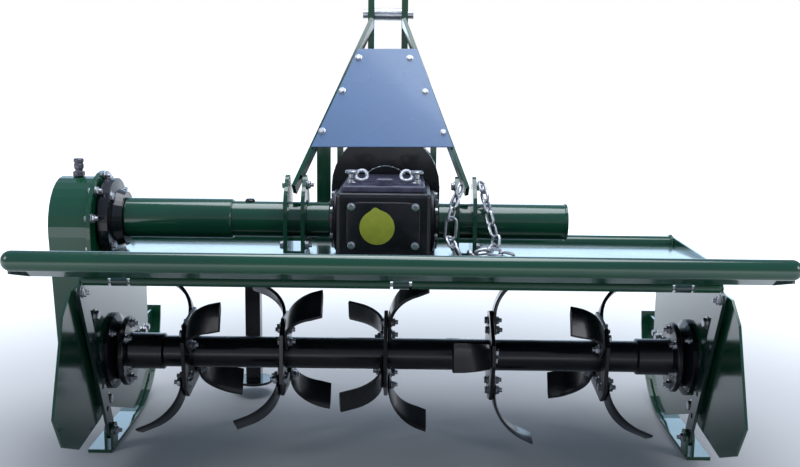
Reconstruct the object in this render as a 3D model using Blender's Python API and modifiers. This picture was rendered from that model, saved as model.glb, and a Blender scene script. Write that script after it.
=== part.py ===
"""Rotary tiller for a three-point hitch, standing on its skids with the tailboard held up.

Metres, +Z up. X runs to the right seen from behind, Y forwards to the tractor. Shapes are drawn with
the rotor's axis over Y = 0 and the floor at Z = 0, and the root empty then moves the whole machine so
that its origin is under the middle of its box.
"""

import math

import bmesh
import bpy
from mathutils import Matrix, Vector

# Driving dimensions
working_width = 1.200       # between the inner faces of the side plates
rotor_height = 0.195        # rotor axis above the floor
hood_height = 0.416         # middle of the hood's sheet at its rear fold
mast_height = 0.932         # top of the mast
centre_x = -0.036           # gearbox, mast and hitch stand left of the middle

gap = 0.0003                # between pieces that touch
running = 0.001             # between a shaft and its bore

side_thickness = 0.005
side_front = 0.285
side_top = hood_height + 0.004
side_rear = -0.160
hood_thickness = 0.004
hood_rear = -0.150
hood_fold = 0.004           # fall of the hood's short rear fold
hood_fold_y = -0.195
front_tube_radius = 0.017
front_tube_y = 0.175
front_tube_z = hood_height - 0.012
angle_leg = 0.024
angle_thickness = 0.004
angle_y = -0.200            # rear face of the angle under the hood's rear edge

skid_width = 0.048
skid_thickness = 0.007
skid_inset = 0.011          # from a side plate's inner face in to the skid's inner edge
skid_inner_x = working_width / 2 - skid_inset
skid_rear = -0.078
skid_bend_y = 0.150         # where the skid starts to curve up
skid_bend_radius = 0.225
skid_bend_degrees = 84.0
skid_lug_height = 0.045     # the angle that holds the skid's front end
strut_width = 0.035
strut_thickness = 0.006
strut_top = (-0.206, hood_height - 0.050)
strut_foot = (-0.053, 0.040)
strut_hole = 0.006
strut_side_gap = 0.001      # from a strut to the side plate's inner face
fin_thickness = 0.005
fin_notch_radius = 0.086    # round the chain case's lower end

drive_height = hood_height + 0.061   # cross drive tube's axis above the floor
case_depth = 0.078
case_top_radius = 0.098
case_top_z = drive_height - 0.015
case_bottom_radius = 0.066
case_back_thickness = 0.008
case_rim = 0.012
hub_radius = 0.080
hub_base = 0.020            # thickness of the hub's wide base
hub_reach = 0.040           # from the side plate's inner face to the hub's end
drive_radius = 0.036
sleeve_wall = 0.004
sleeve_length = 0.215

gearbox_width = 0.186
gearbox_rear = -0.106
gearbox_front = 0.118
gearbox_top = drive_height + 0.068
lid_height = 0.012
pto_height = drive_height + 0.043
pto_radius = 0.0175
pto_length = 0.115
boss_radius = 0.056
boss_length = 0.012
guard_radius = 0.116
guard_wall = 0.005
guard_depth = 0.092
guard_legs = 0.072           # the hoop's legs reach this far below the shaft's axis
guard_rise = 0.012

clamp_plate = 0.008
clamp_gap = 0.027
clamp_radius = 0.057
clamp_rise = 0.020          # from the drive axis to the middle of a cheek's round shoulders
clamp_boss = 0.020
clamp_bolt_hole = 0.0065
clamp_left_x = -0.215
clamp_right_x = 0.128
tube_right_end = 0.335
brace_width = 0.036
brace_thickness = 0.008
brace_foot_z = drive_height + 0.071
brace_head_z = mast_height - 0.064
brace_head_shift = 0.003    # a brace's head stands this far outside the middle of the ear

mast_bar = 0.014
mast_depth = 0.050
mast_y = 0.262
brace_head_y = mast_y - mast_depth / 2 - 0.024
mast_shoulder = 0.202       # below the top, where the ears start to spread into the legs
mast_knee = 0.292
mast_inner = 0.060          # between the two ears at the top link
mast_leg_inner = 0.196      # between the two legs beside the shaft
mast_guard_thickness = 0.003
mast_guard_low = 0.200      # shares of the braces' length that the guard plate covers
mast_guard_high = 0.820
top_pin_height = mast_height - 0.032
top_pin_radius = 0.0095
top_sleeve_radius = 0.0135

beam_size = 0.050
beam_y = 0.260
beam_z = hood_height - 0.064
hitch_spread = 0.700        # between the outer faces of the lower hitch plates
hitch_plate = 0.010
hitch_pin_radius = 0.011
hitch_pin_length = 0.110
hitch_pin_y = 0.342
hitch_pin_z = beam_z - 0.014

stand_size = 0.035
stand_wall = 0.005
stand_y = 0.312
stand_top = beam_z + 0.046
stand_foot_radius = 0.045
stand_foot_thickness = 0.006
stand_foot_lift = 0.030     # the stand is pinned this far off the floor
holder_height = 0.090

rotor_tube_radius = 0.0325
rotor_flange_radius = 0.072
rotor_flange_thickness = 0.011
rotor_end_clearance = 0.027 # from the end flange's outer face to the side plate
stub_radius = 0.020
bearing_radius = 0.079
tine_flange_half = 0.080
tine_flange_corner = 0.030
tine_flange_thickness = 0.008
tine_thickness = 0.007
tine_shank_width = 0.046
tine_blade_width = 0.058
tine_root = 0.042
tine_bend_start = 0.078
tine_bend_radius = 0.092
tine_bend_degrees = 66.0
tine_tip_length = 0.026
tine_relief_degrees = 15.0
tine_set_places = (-0.4375, -0.2400, -0.0300, 0.1875, 0.4166)
tine_set_turns = (39.0, 50.0, 73.0, 104.0, 129.0)

hinge_y = -0.216
hinge_z = hood_height - 0.024
hinge_pin_radius = 0.005
hinge_barrel_radius = 0.0095
hinge_lug_width = 0.030
hinge_side_gap = 0.005
tail_thickness = 0.003
tail_side_gap = 0.012       # from the tailboard's ends to the side plates' inner faces
tail_length = 0.281
tail_slope_degrees = 12.3
lip_length = 0.092
lip_slope_degrees = 23.6
tail_tube_radius = 0.0155
gusset_thickness = 0.004
gusset_drop = 0.018

chain_radius = 0.006
chain_clearance = 0.0064    # from the drive tube to the chain where it bends round it

half_inner = working_width / 2
half_outer = half_inner + side_thickness
left_edge = -(half_outer + gap + case_back_thickness + gap + case_depth)
right_edge = skid_inner_x + skid_width

green = ((0.008, 0.065, 0.030), 0.0, 0.28)
dark_green = ((0.005, 0.036, 0.022), 0.0, 0.30)
black = ((0.008, 0.009, 0.014), 0.0, 0.35)
steel_blue = ((0.085, 0.150, 0.290), 0.0, 0.30)
zinc = ((0.55, 0.56, 0.58), 1.0, 0.32)

turn_to_x = Matrix(((0, 0, 1), (1, 0, 0), (0, 1, 0)))      # drawn x, y, z become Y, Z, X
turn_to_y = Matrix(((1, 0, 0), (0, 0, -1), (0, 1, 0)))     # drawn x, y, z become X, Z, -Y
no_turn = Matrix.Identity(3)

parts = None
cutters = None
bodies = {}


def clear_scene():
    for thing in list(bpy.data.objects):
        bpy.data.objects.remove(thing, do_unlink=True)


def new_collection(name):
    collection = bpy.data.collections.new(name)
    bpy.context.scene.collection.children.link(collection)
    return collection


def new_body(name, place, parent=None):
    """An empty that carries one body's pieces, on that body's joint axis."""
    empty = bpy.data.objects.new(name, None)
    parts.objects.link(empty)
    if parent:
        empty.parent = parent
        place = Vector(place) - parent_place(parent)
    empty.location = place
    bodies[name] = empty
    return empty


def parent_place(empty):
    place = Vector(empty.location)
    if empty.parent:
        place += parent_place(empty.parent)
    return place


def paint(thing, name, look):
    """One Principled material for each sub-part."""
    colour, metallic, roughness = look
    material = bpy.data.materials.new(name + "_paint")
    material.use_nodes = True
    shader = material.node_tree.nodes["Principled BSDF"]
    shader.inputs["Base Color"].default_value = (*colour, 1.0)
    shader.inputs["Metallic"].default_value = metallic
    shader.inputs["Roughness"].default_value = roughness
    thing.data.materials.append(material)


def settle(thing, name, look, body="frame"):
    """Name a finished piece, paint it and hang it on its body's empty where it was drawn."""
    thing.name = name
    thing.data.name = name
    paint(thing, name, look)
    hang(thing, bodies[body])


def hang(thing, empty):
    """Parent a drawn piece, and whatever cuts it or is joined to it, without moving it."""
    thing.parent = empty
    thing.matrix_basis = Matrix.Translation(-drawn_origin(empty)) @ thing.matrix_basis
    for change in thing.modifiers:
        if change.type == "BOOLEAN":
            hang(change.object, empty)


def drawn_origin(empty):
    """The body's origin in the frame that the shapes are drawn in, without the root's own shift."""
    place = Vector((0.0, 0.0, 0.0))
    while empty.parent:
        place += Vector(empty.location)
        empty = empty.parent
    return place


def cutter(thing):
    thing.hide_render = True
    thing.display_type = "WIRE"
    if thing.name in parts.objects:
        parts.objects.unlink(thing)
    if thing.name not in cutters.objects:
        cutters.objects.link(thing)
    return thing


def mesh_object(name, mesh):
    thing = bpy.data.objects.new(name, mesh)
    parts.objects.link(thing)
    return thing


def frame_matrix(turn, place):
    return Matrix.Translation(place) @ turn.to_4x4()


def flat(outline, thickness, turn, place, holes=()):
    """A flat plate: a filled 2D outline given the plate's thickness about its middle plane."""
    curve = bpy.data.curves.new("outline", "CURVE")
    curve.dimensions = "2D"
    curve.fill_mode = "BOTH"
    curve.extrude = thickness / 2
    for points in (outline, *holes):
        spline = curve.splines.new("POLY")
        spline.points.add(len(points) - 1)
        for point, (across, up) in zip(spline.points, points):
            point.co = (across, up, 0.0, 1.0)
        spline.use_cyclic_u = True
    thing = bpy.data.objects.new("outline", curve)
    parts.objects.link(thing)
    thing.matrix_basis = frame_matrix(turn, place)
    return thing


def bar(points, radius, sides=3):
    """A round wire or tube along straight runs."""
    curve = bpy.data.curves.new("bar", "CURVE")
    curve.dimensions = "3D"
    curve.bevel_depth = radius
    curve.bevel_resolution = sides
    curve.use_fill_caps = True
    spline = curve.splines.new("POLY")
    spline.points.add(len(points) - 1)
    for point, place in zip(spline.points, points):
        point.co = (*place, 1.0)
    thing = bpy.data.objects.new("bar", curve)
    parts.objects.link(thing)
    return thing


def as_mesh(thing):
    """A curve made a closed mesh with welded caps, so that it can be cut or joined."""
    bpy.context.view_layer.update()
    graph = bpy.context.evaluated_depsgraph_get()
    mesh = bpy.data.meshes.new_from_object(thing.evaluated_get(graph))
    body = bmesh.new()
    body.from_mesh(mesh)
    bmesh.ops.remove_doubles(body, verts=body.verts, dist=0.00001)
    bmesh.ops.recalc_face_normals(body, faces=body.faces)
    body.to_mesh(mesh)
    body.free()
    solid = mesh_object("solid", mesh)
    solid.matrix_basis = thing.matrix_world.copy()
    bpy.data.objects.remove(thing, do_unlink=True)
    return solid


def block(low, high):
    """A box between two corners."""
    low = Vector(low)
    high = Vector(high)
    body = bmesh.new()
    size = Matrix.Diagonal((*(high - low), 1.0))
    bmesh.ops.create_cube(body, size=1.0, matrix=Matrix.Translation((low + high) / 2) @ size)
    mesh = bpy.data.meshes.new("block")
    body.to_mesh(mesh)
    body.free()
    return mesh_object("block", mesh)


def beam(start, end, width, thickness, side):
    """A straight flat bar between two points, its thickness as near as it goes to the side given."""
    start = Vector(start)
    end = Vector(end)
    along = (end - start).normalized()
    thin = (Vector(side) - along * Vector(side).dot(along)).normalized()
    wide = thin.cross(along)
    turn = Matrix((wide, thin, along)).transposed()
    thing = block((-width / 2, -thickness / 2, 0.0), (width / 2, thickness / 2, (end - start).length))
    thing.matrix_basis = frame_matrix(turn, start)
    return thing


def drum(radius, start, end, turn, place, sides=32):
    """A solid cylinder from start to end along the turned Z axis."""
    body = bmesh.new()
    bmesh.ops.create_cone(
        body, cap_ends=True, segments=sides, radius1=radius, radius2=radius, depth=end - start,
        matrix=Matrix.Translation((0.0, 0.0, (start + end) / 2)),
    )
    mesh = bpy.data.meshes.new("drum")
    body.to_mesh(mesh)
    body.free()
    thing = mesh_object("drum", mesh)
    thing.matrix_basis = frame_matrix(turn, place)
    return thing


def turned(profile, turn, place, sides=32, ring=False):
    """A turned piece: a profile of (radius, height), outer side downwards, spun about the Z axis."""
    mesh = bpy.data.meshes.new("turned")
    points = [(radius, 0.0, height) for radius, height in profile]
    edges = [(index, index + 1) for index in range(len(points) - 1)]
    if ring:
        edges.append((len(points) - 1, 0))
    mesh.from_pydata(points, edges, [])
    thing = mesh_object("turned", mesh)
    thing.matrix_basis = frame_matrix(turn, place)
    screw = thing.modifiers.new("Screw", "SCREW")
    screw.steps = sides
    screw.render_steps = sides
    screw.use_merge_vertices = True
    screw.merge_threshold = 0.00005
    screw.use_smooth_shade = True
    return thing


def pipe(outer, inner, start, end, turn, place, sides=32):
    """A hollow tube, open at both ends."""
    ring = [(outer, end), (outer, start), (inner, start), (inner, end)]
    return turned(ring, turn, place, sides, ring=True)


def boolean(thing, other, operation):
    change = thing.modifiers.new(operation.title(), "BOOLEAN")
    change.operation = operation
    change.solver = "EXACT"
    change.object = cutter(other)


def cut(thing, *others):
    for other in others:
        boolean(thing, other, "DIFFERENCE")
    return thing


def join(thing, *others):
    for other in others:
        boolean(thing, other, "UNION")
    return thing


def soften(thing, width, segments=2):
    edge = thing.modifiers.new("Bevel", "BEVEL")
    edge.width = width
    edge.segments = segments
    edge.limit_method = "ANGLE"
    edge.angle_limit = math.radians(40)
    return thing


def arc(centre, radius, start, end, steps=10):
    """Points along an arc, angles in degrees from the first axis towards the second."""
    points = []
    for step in range(steps + 1):
        angle = math.radians(start + (end - start) * step / steps)
        points.append((centre[0] + radius * math.cos(angle), centre[1] + radius * math.sin(angle)))
    return points


def circle(centre, radius, sides=16):
    return arc(centre, radius, 0.0, 360.0 * (sides - 1) / sides, sides - 1)


def sheet(points, thickness):
    """The outline of a bent sheet: its middle line set off half the thickness to both sides."""
    left = []
    right = []
    last = len(points) - 1
    for index, point in enumerate(points):
        here = Vector(point)
        before = (here - Vector(points[index - 1])).normalized() if index > 0 else None
        after = (Vector(points[index + 1]) - here).normalized() if index < last else None
        before = before or after
        after = after or before
        square = Vector((-(before + after).y, (before + after).x)).normalized()
        reach = thickness / 2 / square.dot(Vector((-after.y, after.x)))
        left.append(tuple(here + square * reach))
        right.append(tuple(here - square * reach))
    return left + right[::-1]


def tangent_outline(top, top_radius, bottom, bottom_radius, steps=16):
    """Two circles, one over the other, and the two lines that touch both."""
    lean = math.degrees(math.asin((top_radius - bottom_radius) / (top[1] - bottom[1])))
    upper = arc(top, top_radius, -lean, 180.0 + lean, steps)
    lower = arc(bottom, bottom_radius, 180.0 + lean, 360.0 - lean, steps)
    return upper + lower


def side_outline():
    """A side plate: level on top, its lower front edge following the skid's curve."""
    curve_centre = (skid_bend_y, skid_bend_radius)
    curve_radius = skid_bend_radius - skid_thickness - 0.008
    reach = math.degrees(math.asin((side_front - skid_bend_y) / curve_radius))
    lower = arc(curve_centre, curve_radius, -90.0, -90.0 + reach, 6)
    rear_corner = (-0.095, 0.106)
    front = [(side_front, side_top - 0.075), (side_front - 0.080, side_top)]
    back = [(side_rear, side_top), (side_rear - 0.030, side_top - 0.035)]
    return [rear_corner, *lower, *front, *back]


def make_sides():
    for name, side in (("left", -1), ("right", 1)):
        middle = side * (half_inner + side_thickness / 2)
        shaft_hole = circle((0.0, rotor_height), stub_radius + 0.008, 24)
        plate = flat(side_outline(), side_thickness, turn_to_x, (middle, 0.0, 0.0), [shaft_hole])
        settle(plate, "side_plate_" + name, green)

        fin_middle = side * (half_outer + gap + fin_thickness / 2)
        fin = flat(fin_outline(), fin_thickness, turn_to_x, (fin_middle, 0.0, 0.0))
        settle(fin, "side_fin_" + name, green)


def fin_outline():
    """The wing plate behind a side plate: cut round the chain case in front, a blunt point behind."""
    rear = [(-0.235, 0.374), (-0.283, 0.338), (-0.354, 0.170), (-0.312, 0.103), (-0.228, 0.066)]
    lower = [(-0.090, 0.077), (-0.006, 0.098)]
    notch = arc((0.0, rotor_height), fin_notch_radius, 256.0, 180.0, 6)
    front = [(-0.104, 0.330), (-0.125, 0.374)]
    return [*rear, *lower, *notch, *front]


def make_hood():
    front_y = front_tube_y - front_tube_radius - gap - 0.0003
    middle_line = [(front_y, front_tube_z), (hood_rear, hood_height), (hood_fold_y, hood_height - hood_fold)]
    length = working_width - 2 * gap
    hood = as_mesh(flat(sheet(middle_line, hood_thickness), length, turn_to_x, (0.0, 0.0, 0.0)))
    room = hub_radius + 0.004
    notch_end = -(half_inner - hub_base - 0.004)
    notch = block((-half_outer, -room, front_tube_z - 0.05), (notch_end, room, hood_height + 0.05))
    settle(cut(hood, notch), "hood", dark_green)

    tube = drum(front_tube_radius, -length / 2, length / 2, turn_to_x, (0.0, front_tube_y, front_tube_z), 24)
    settle(tube, "front_tube", green)

    top = hood_height - hood_fold - hood_thickness - 0.001
    low = top - angle_leg
    shelf = low + angle_thickness
    inner_y = angle_y + angle_thickness
    corner = [(angle_y, top), (angle_y, low), (angle_y + angle_leg, low)]
    corner += [(angle_y + angle_leg, shelf), (inner_y, shelf), (inner_y, top)]
    angle_length = 2 * (half_inner - strut_side_gap - strut_thickness - 0.003)
    angle = as_mesh(flat(corner, angle_length, turn_to_x, (0.0, 0.0, 0.0)))
    for place in hinge_lugs():
        lug = [(angle_y + 0.001, low + 0.002), (hinge_y, hinge_z - hinge_pin_radius * 2)]
        lug += arc((hinge_y, hinge_z), hinge_barrel_radius, 240.0, 60.0, 8)
        lug += [(angle_y + 0.001, top - 0.002)]
        bore = circle((hinge_y, hinge_z), hinge_pin_radius + gap)
        tab = as_mesh(flat(lug, hinge_lug_width, turn_to_x, (place, 0.0, 0.0), [bore]))
        join(angle, tab)
    settle(angle, "rear_angle", dark_green)

    reach = half_inner - tail_side_gap
    pin = drum(hinge_pin_radius, -reach, reach, turn_to_x, (0.0, hinge_y, hinge_z), 16)
    settle(pin, "hinge_pin", zinc)


def hinge_lugs():
    """Where along X the frame's hinge lugs stand."""
    return [share * (half_inner - 0.080) for share in (-1.0, 0.0, 1.0)]


def make_skids():
    line = [(skid_rear, skid_thickness / 2)]
    middle_radius = skid_bend_radius - skid_thickness / 2
    line += arc((skid_bend_y, skid_bend_radius), middle_radius, -90.0, -90.0 + skid_bend_degrees, 10)
    fork_cheek = 0.005
    fork_half = strut_thickness / 2 + running + fork_cheek / 2
    fork = [(strut_foot[0] - 0.018, skid_thickness - 0.002), (strut_foot[0] + 0.018, skid_thickness - 0.002)]
    fork += arc(strut_foot, 0.018, 0.0, 180.0, 8)
    for name, side in (("left", -1), ("right", 1)):
        middle = side * (skid_inner_x + skid_width / 2)
        shoe = as_mesh(flat(sheet(line, skid_thickness), skid_width, turn_to_x, (middle, 0.0, 0.0)))
        strut_x = side * (half_inner - strut_side_gap - strut_thickness / 2)
        for turn in (-1, 1):
            bolt_hole = circle(strut_foot, strut_hole, 12)
            cheek_place = (strut_x + turn * fork_half, 0.0, 0.0)
            join(shoe, as_mesh(flat(fork, fork_cheek, turn_to_x, cheek_place, [bolt_hole])))
        settle(shoe, "skid_" + name, green)

        outline, holes = strut_outline()
        strut = flat(outline, strut_thickness, turn_to_x, (strut_x, 0.0, 0.0), holes)
        settle(strut, "skid_strut_" + name, dark_green)
        settle(skid_lug(side, line[-1][1]), "skid_lug_" + name, green)


def strut_outline():
    """A round-ended flat bar with a row of setting holes, leaning from its foot to its top."""
    foot = Vector(strut_foot)
    length = (Vector(strut_top) - foot).length
    along = (Vector(strut_top) - foot).normalized()
    lean = Matrix(((along.y, along.x), (-along.x, along.y)))
    half = strut_width / 2
    upright = arc((0.0, length), half, 0.0, 180.0, 8) + arc((0.0, 0.0), half, 180.0, 360.0, 8)
    shares = (0.0, 0.17, 0.34, 0.51, 0.68, 1.0)
    holes = [circle((0.0, length * share), strut_hole, 12) for share in shares]
    leaning = [[tuple(lean @ Vector(point) + foot) for point in ring] for ring in (upright, *holes)]
    return leaning[0], leaning[1:]


def skid_lug(side, tip_height):
    """The angle that holds a skid's front end to the side plate, its face inside the skid's curve."""
    near = half_outer + gap
    far = skid_inner_x + skid_width
    lug_low = tip_height - skid_lug_height - 0.006
    inner_radius = skid_bend_radius - skid_thickness
    inset = math.sqrt(inner_radius ** 2 - (skid_bend_radius - lug_low) ** 2)
    face = skid_bend_y + inset - 0.001
    back = side_front - 0.055
    wall = 0.006
    ell = [(side * near, back), (side * near, face), (side * far, face)]
    ell += [(side * far, face - wall), (side * (near + wall), face - wall), (side * (near + wall), back)]
    return flat(ell, skid_lug_height, no_turn, (0.0, 0.0, lug_low + skid_lug_height / 2))


def make_chain_case():
    top = (0.0, case_top_z)
    bottom = (0.0, rotor_height)
    back_x = -(half_outer + gap + case_back_thickness / 2)
    back = tangent_outline(top, case_top_radius + case_rim, bottom, case_bottom_radius + case_rim)
    settle(flat(back, case_back_thickness, turn_to_x, (back_x, 0.0, 0.0)), "chain_case_back", green)

    near = -(half_outer + gap + case_back_thickness + gap)
    outline = tangent_outline(top, case_top_radius, bottom, case_bottom_radius)
    case = as_mesh(flat(outline, case_depth, turn_to_x, (near - case_depth / 2, 0.0, 0.0)))
    settle(soften(case, 0.006), "chain_case", green)

    stem = [(0.0, 0.036), (0.008, 0.036), (0.010, 0.032), (0.010, 0.024), (0.012, 0.022), (0.012, gap)]
    stem.append((0.0, gap))
    crown = case_top_z + case_top_radius
    breather = turned(stem, no_turn, (near - case_depth * 0.55, 0.0, crown), 16)
    settle(breather, "breather", black)

    spigot = half_outer - gap
    hub_end = -(half_inner - hub_reach)
    profile = [(0.0, hub_end), (0.052, hub_end), (0.058, -(half_inner - hub_base - 0.004))]
    profile += [(hub_radius, -(half_inner - hub_base)), (hub_radius, -(half_inner - gap))]
    profile += [(0.050, -(half_inner - gap)), (0.050, -spigot), (0.0, -spigot)]
    hub = turned(profile, turn_to_x, (0.0, 0.0, drive_height), 32)
    settle(hub, "drive_hub", black)


def make_drive_line():
    start = -(half_inner - hub_reach) + gap
    gearbox_left = centre_x - gearbox_width / 2
    gearbox_right = centre_x + gearbox_width / 2
    place = (0.0, 0.0, drive_height)
    settle(drum(drive_radius, start, gearbox_left - gap, turn_to_x, place), "drive_tube", green)
    bore = drive_radius + gap
    sleeve = pipe(bore + sleeve_wall, bore, start, start + sleeve_length, turn_to_x, place)
    settle(sleeve, "drive_sleeve", green)
    rim_start = tube_right_end - 0.005
    stub = drum(drive_radius, gearbox_right + gap, rim_start + 0.001, turn_to_x, place)
    rim = drum(drive_radius + 0.002, rim_start, tube_right_end, turn_to_x, place)
    settle(join(stub, rim), "support_tube", green)


def make_gearbox():
    low = hood_top_at(gearbox_rear) + 0.002
    half = gearbox_width / 2
    box = block((centre_x - half, gearbox_rear, low), (centre_x + half, gearbox_front, gearbox_top))
    soften(box, 0.008)
    axis = (centre_x, 0.0, pto_height)
    boss = drum(boss_radius, -gearbox_front - boss_length, -gearbox_front + 0.01, turn_to_y, axis, 32)
    bore = drum(pto_radius + running, -gearbox_front - 0.02, -gearbox_front + 0.020, turn_to_y, axis, 32)
    join(box, boss)
    cut(box, bore)
    settle(box, "gearbox", black)

    lid = block((centre_x - half + 0.012, gearbox_rear + 0.014, gearbox_top + gap),
                (centre_x + half - 0.012, gearbox_front - 0.014, gearbox_top + gap + lid_height))
    settle(soften(lid, 0.003), "gearbox_lid", black)

    settle(shaft_guard(), "pto_guard", black)

    shaft_start = gearbox_front - 0.018
    shaft = drum(pto_radius, -(gearbox_front + pto_length), -shaft_start, turn_to_y, axis, 24)
    settle(shaft, "pto_shaft", zinc, "pto")


def shaft_guard():
    """A hoop over the splined stub, open below, on a back plate bored for the gearbox's boss."""
    crown = (centre_x, pto_height + guard_rise)
    inner_half = guard_radius - guard_wall
    low = pto_height - guard_legs
    outer = [(centre_x + guard_radius, low), *arc(crown, guard_radius, 0.0, 180.0, 16)]
    outer.append((centre_x - guard_radius, low))
    inner = [(centre_x - inner_half, low), *arc(crown, inner_half, 180.0, 0.0, 16)]
    inner.append((centre_x + inner_half, low))
    hoop_middle = gearbox_front + gap + guard_wall + guard_depth / 2
    hoop = as_mesh(flat(outer + inner, guard_depth, turn_to_y, (0.0, hoop_middle, 0.0)))
    web_thickness = guard_wall + 0.001
    web_hole = circle((centre_x, pto_height), boss_radius + running, 24)
    web_middle = gearbox_front + gap + web_thickness / 2
    web = as_mesh(flat(outer, web_thickness, turn_to_y, (0.0, web_middle, 0.0), [web_hole]))
    return join(hoop, web)


def hood_top_at(place):
    """Height of the hood's upper face at a place along Y, in front of its rear fold."""
    front_y = front_tube_y - front_tube_radius
    share = (front_y - place) / (front_y - hood_rear)
    return front_tube_z + (hood_height - front_tube_z) * share + hood_thickness / 2


def make_clamps():
    """Two cheeks round the drive tube on a foot plate, with a boss on top for a brace's bolt."""
    foot = hood_top_at(-clamp_radius) + 0.001
    shoulder = (0.0, drive_height + clamp_rise)
    outline = [(clamp_radius, foot), *arc(shoulder, clamp_radius, 0.0, 60.0, 5)]
    outline += arc((0.0, brace_foot_z), clamp_boss, 40.0, 140.0, 6)
    outline += [*arc(shoulder, clamp_radius, 120.0, 180.0, 5), (-clamp_radius, foot)]
    spread = clamp_gap / 2 + clamp_plate / 2
    web_half = clamp_gap / 2 + 0.002
    for name, place in (("left", clamp_left_x), ("right", clamp_right_x)):
        web = block((place - web_half, -clamp_radius, foot), (place + web_half, clamp_radius, foot + 0.006))
        for side in (-1, 1):
            bore = circle((0.0, drive_height), drive_radius + gap + 0.0003, 32)
            bolt = circle((0.0, brace_foot_z), clamp_bolt_hole, 12)
            cheek = flat(outline, clamp_plate, turn_to_x, (place + side * spread, 0.0, 0.0), [bore, bolt])
            join(web, as_mesh(cheek))
        settle(web, "tube_clamp_" + name, green)


def brace_ends(side):
    """A brace's bolt places: its foot in the tube clamp and its head behind the mast's ear."""
    clamp = clamp_left_x if side < 0 else clamp_right_x
    head = centre_x + side * (mast_inner / 2 + mast_bar / 2 + brace_head_shift)
    return Vector((clamp, 0.0, brace_foot_z)), Vector((head, brace_head_y, brace_head_z))


def make_mast():
    for name, side in (("left", -1), ("right", 1)):
        ear = side * (mast_inner / 2 + mast_bar / 2) + centre_x
        leg = side * (mast_leg_inner / 2 + mast_bar / 2) + centre_x
        line = [(leg, beam_z + beam_size / 2 + gap), (leg, mast_height - mast_knee)]
        line += [(ear, mast_height - mast_shoulder), (ear, mast_height)]
        strap = as_mesh(flat(sheet(line, mast_bar), mast_depth, turn_to_y, (0.0, mast_y, 0.0)))
        pin_place = (0.0, mast_y, top_pin_height)
        hole = drum(top_pin_radius + gap, ear - mast_bar, ear + mast_bar, turn_to_x, pin_place, 20)
        settle(cut(strap, hole), "mast_" + name, green)

        foot, head = brace_ends(side)
        along = (head - foot).normalized()
        start = foot - along * 0.012
        end = head + along * 0.015
        settle(beam(start, end, brace_width, brace_thickness, (1, 0, 0)), "brace_" + name, green)
    settle(mast_guard(), "mast_guard", steel_blue)

    inner = mast_inner / 2 - gap
    place = (0.0, mast_y, top_pin_height)
    reach = mast_inner / 2 + mast_bar + 0.012
    settle(drum(top_pin_radius, centre_x - reach, centre_x + reach, turn_to_x, place, 20), "top_pin", zinc)
    bore = top_pin_radius + gap
    spacer = pipe(top_sleeve_radius, bore, centre_x - inner, centre_x + inner, turn_to_x, place, 20)
    settle(spacer, "top_spacer", zinc)


def mast_guard():
    """The plate on the rear edges of both braces, narrowing upwards as they do."""
    left_foot, left_head = brace_ends(-1)
    right_foot, right_head = brace_ends(1)
    corners = [left_foot.lerp(left_head, mast_guard_low), right_foot.lerp(right_head, mast_guard_low)]
    corners += [right_foot.lerp(right_head, mast_guard_high), left_foot.lerp(left_head, mast_guard_high)]
    along = ((left_head + right_head) / 2 - (left_foot + right_foot) / 2).normalized()
    out = Vector((1, 0, 0)).cross(along)
    origin = (corners[0] + corners[1]) / 2
    outline = [((corner - origin).x, (corner - origin).dot(along)) for corner in corners]
    turn = Matrix((Vector((1, 0, 0)), along, out)).transposed()
    lift = brace_width / 2 + 0.004
    return flat(outline, mast_guard_thickness, turn, origin + out * lift)


def make_hitch():
    half = beam_size / 2
    outer = hitch_spread / 2
    inner = outer - hitch_plate - gap
    low = (centre_x - inner, beam_y - half, beam_z - half)
    high = (centre_x + inner, beam_y + half, beam_z + half)
    member = block(low, high)
    settle(soften(member, 0.004), "hitch_beam", green)
    for name, side in (("left", -1), ("right", 1)):
        middle = centre_x + side * (outer - hitch_plate / 2)
        top = front_tube_z - front_tube_radius - gap
        outline = [(front_tube_y - 0.020, top), (front_tube_y - 0.020, beam_z - 0.012)]
        outline += [(beam_y - 0.01, beam_z - half - 0.012)]
        outline += arc((hitch_pin_y, hitch_pin_z), 0.028, 250.0, 420.0, 8)
        outline += [(beam_y + half, top)]
        hole = circle((hitch_pin_y, hitch_pin_z), hitch_pin_radius + gap, 20)
        plate = flat(outline, hitch_plate, turn_to_x, (middle, 0.0, 0.0), [hole])
        settle(plate, "hitch_plate_" + name, green)
        ends = sorted((centre_x + side * (outer - hitch_plate), centre_x + side * (outer + hitch_pin_length)))
        pin = drum(hitch_pin_radius, ends[0], ends[1], turn_to_x, (0.0, hitch_pin_y, hitch_pin_z), 20)
        settle(pin, "hitch_pin_" + name, zinc)


def stand_middle():
    """Where along X the parking stand slides, against the left hitch plate's inner face."""
    plate_inner = centre_x - (hitch_spread / 2 - hitch_plate) + gap
    return plate_inner + stand_wall + stand_size / 2 + running


def make_stand():
    middle = stand_middle()
    half = stand_size / 2
    fit = half + running
    outer = fit + stand_wall
    high = stand_top - 0.012
    low = high - holder_height
    back = beam_y + beam_size / 2 + gap
    shell = block((middle - outer, back, low), (middle + outer, stand_y + outer, high))
    hollow = block((middle - fit, stand_y - fit, low - 0.01), (middle + fit, stand_y + fit, high + 0.01))
    settle(cut(shell, hollow), "stand_holder", green)

    foot_top = stand_foot_lift + stand_foot_thickness
    leg = block((middle - half, stand_y - half, foot_top - 0.001), (middle + half, stand_y + half, stand_top))
    foot = drum(stand_foot_radius, stand_foot_lift, foot_top, no_turn, (middle, stand_y, 0.0), 24)
    settle(join(leg, foot), "parking_stand", black, "stand")

    rest_x = centre_x - guard_radius - 0.030
    rest = [(rest_x - 0.016, beam_z + half), (rest_x + 0.016, beam_z + half)]
    rest += arc((rest_x, 0.632), 0.016, 0.0, 180.0, 8)
    rest_y = beam_y + beam_size / 2 + 0.004
    settle(flat(rest, 0.006, turn_to_y, (0.0, rest_y, 0.0)), "shaft_rest", green)


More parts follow.
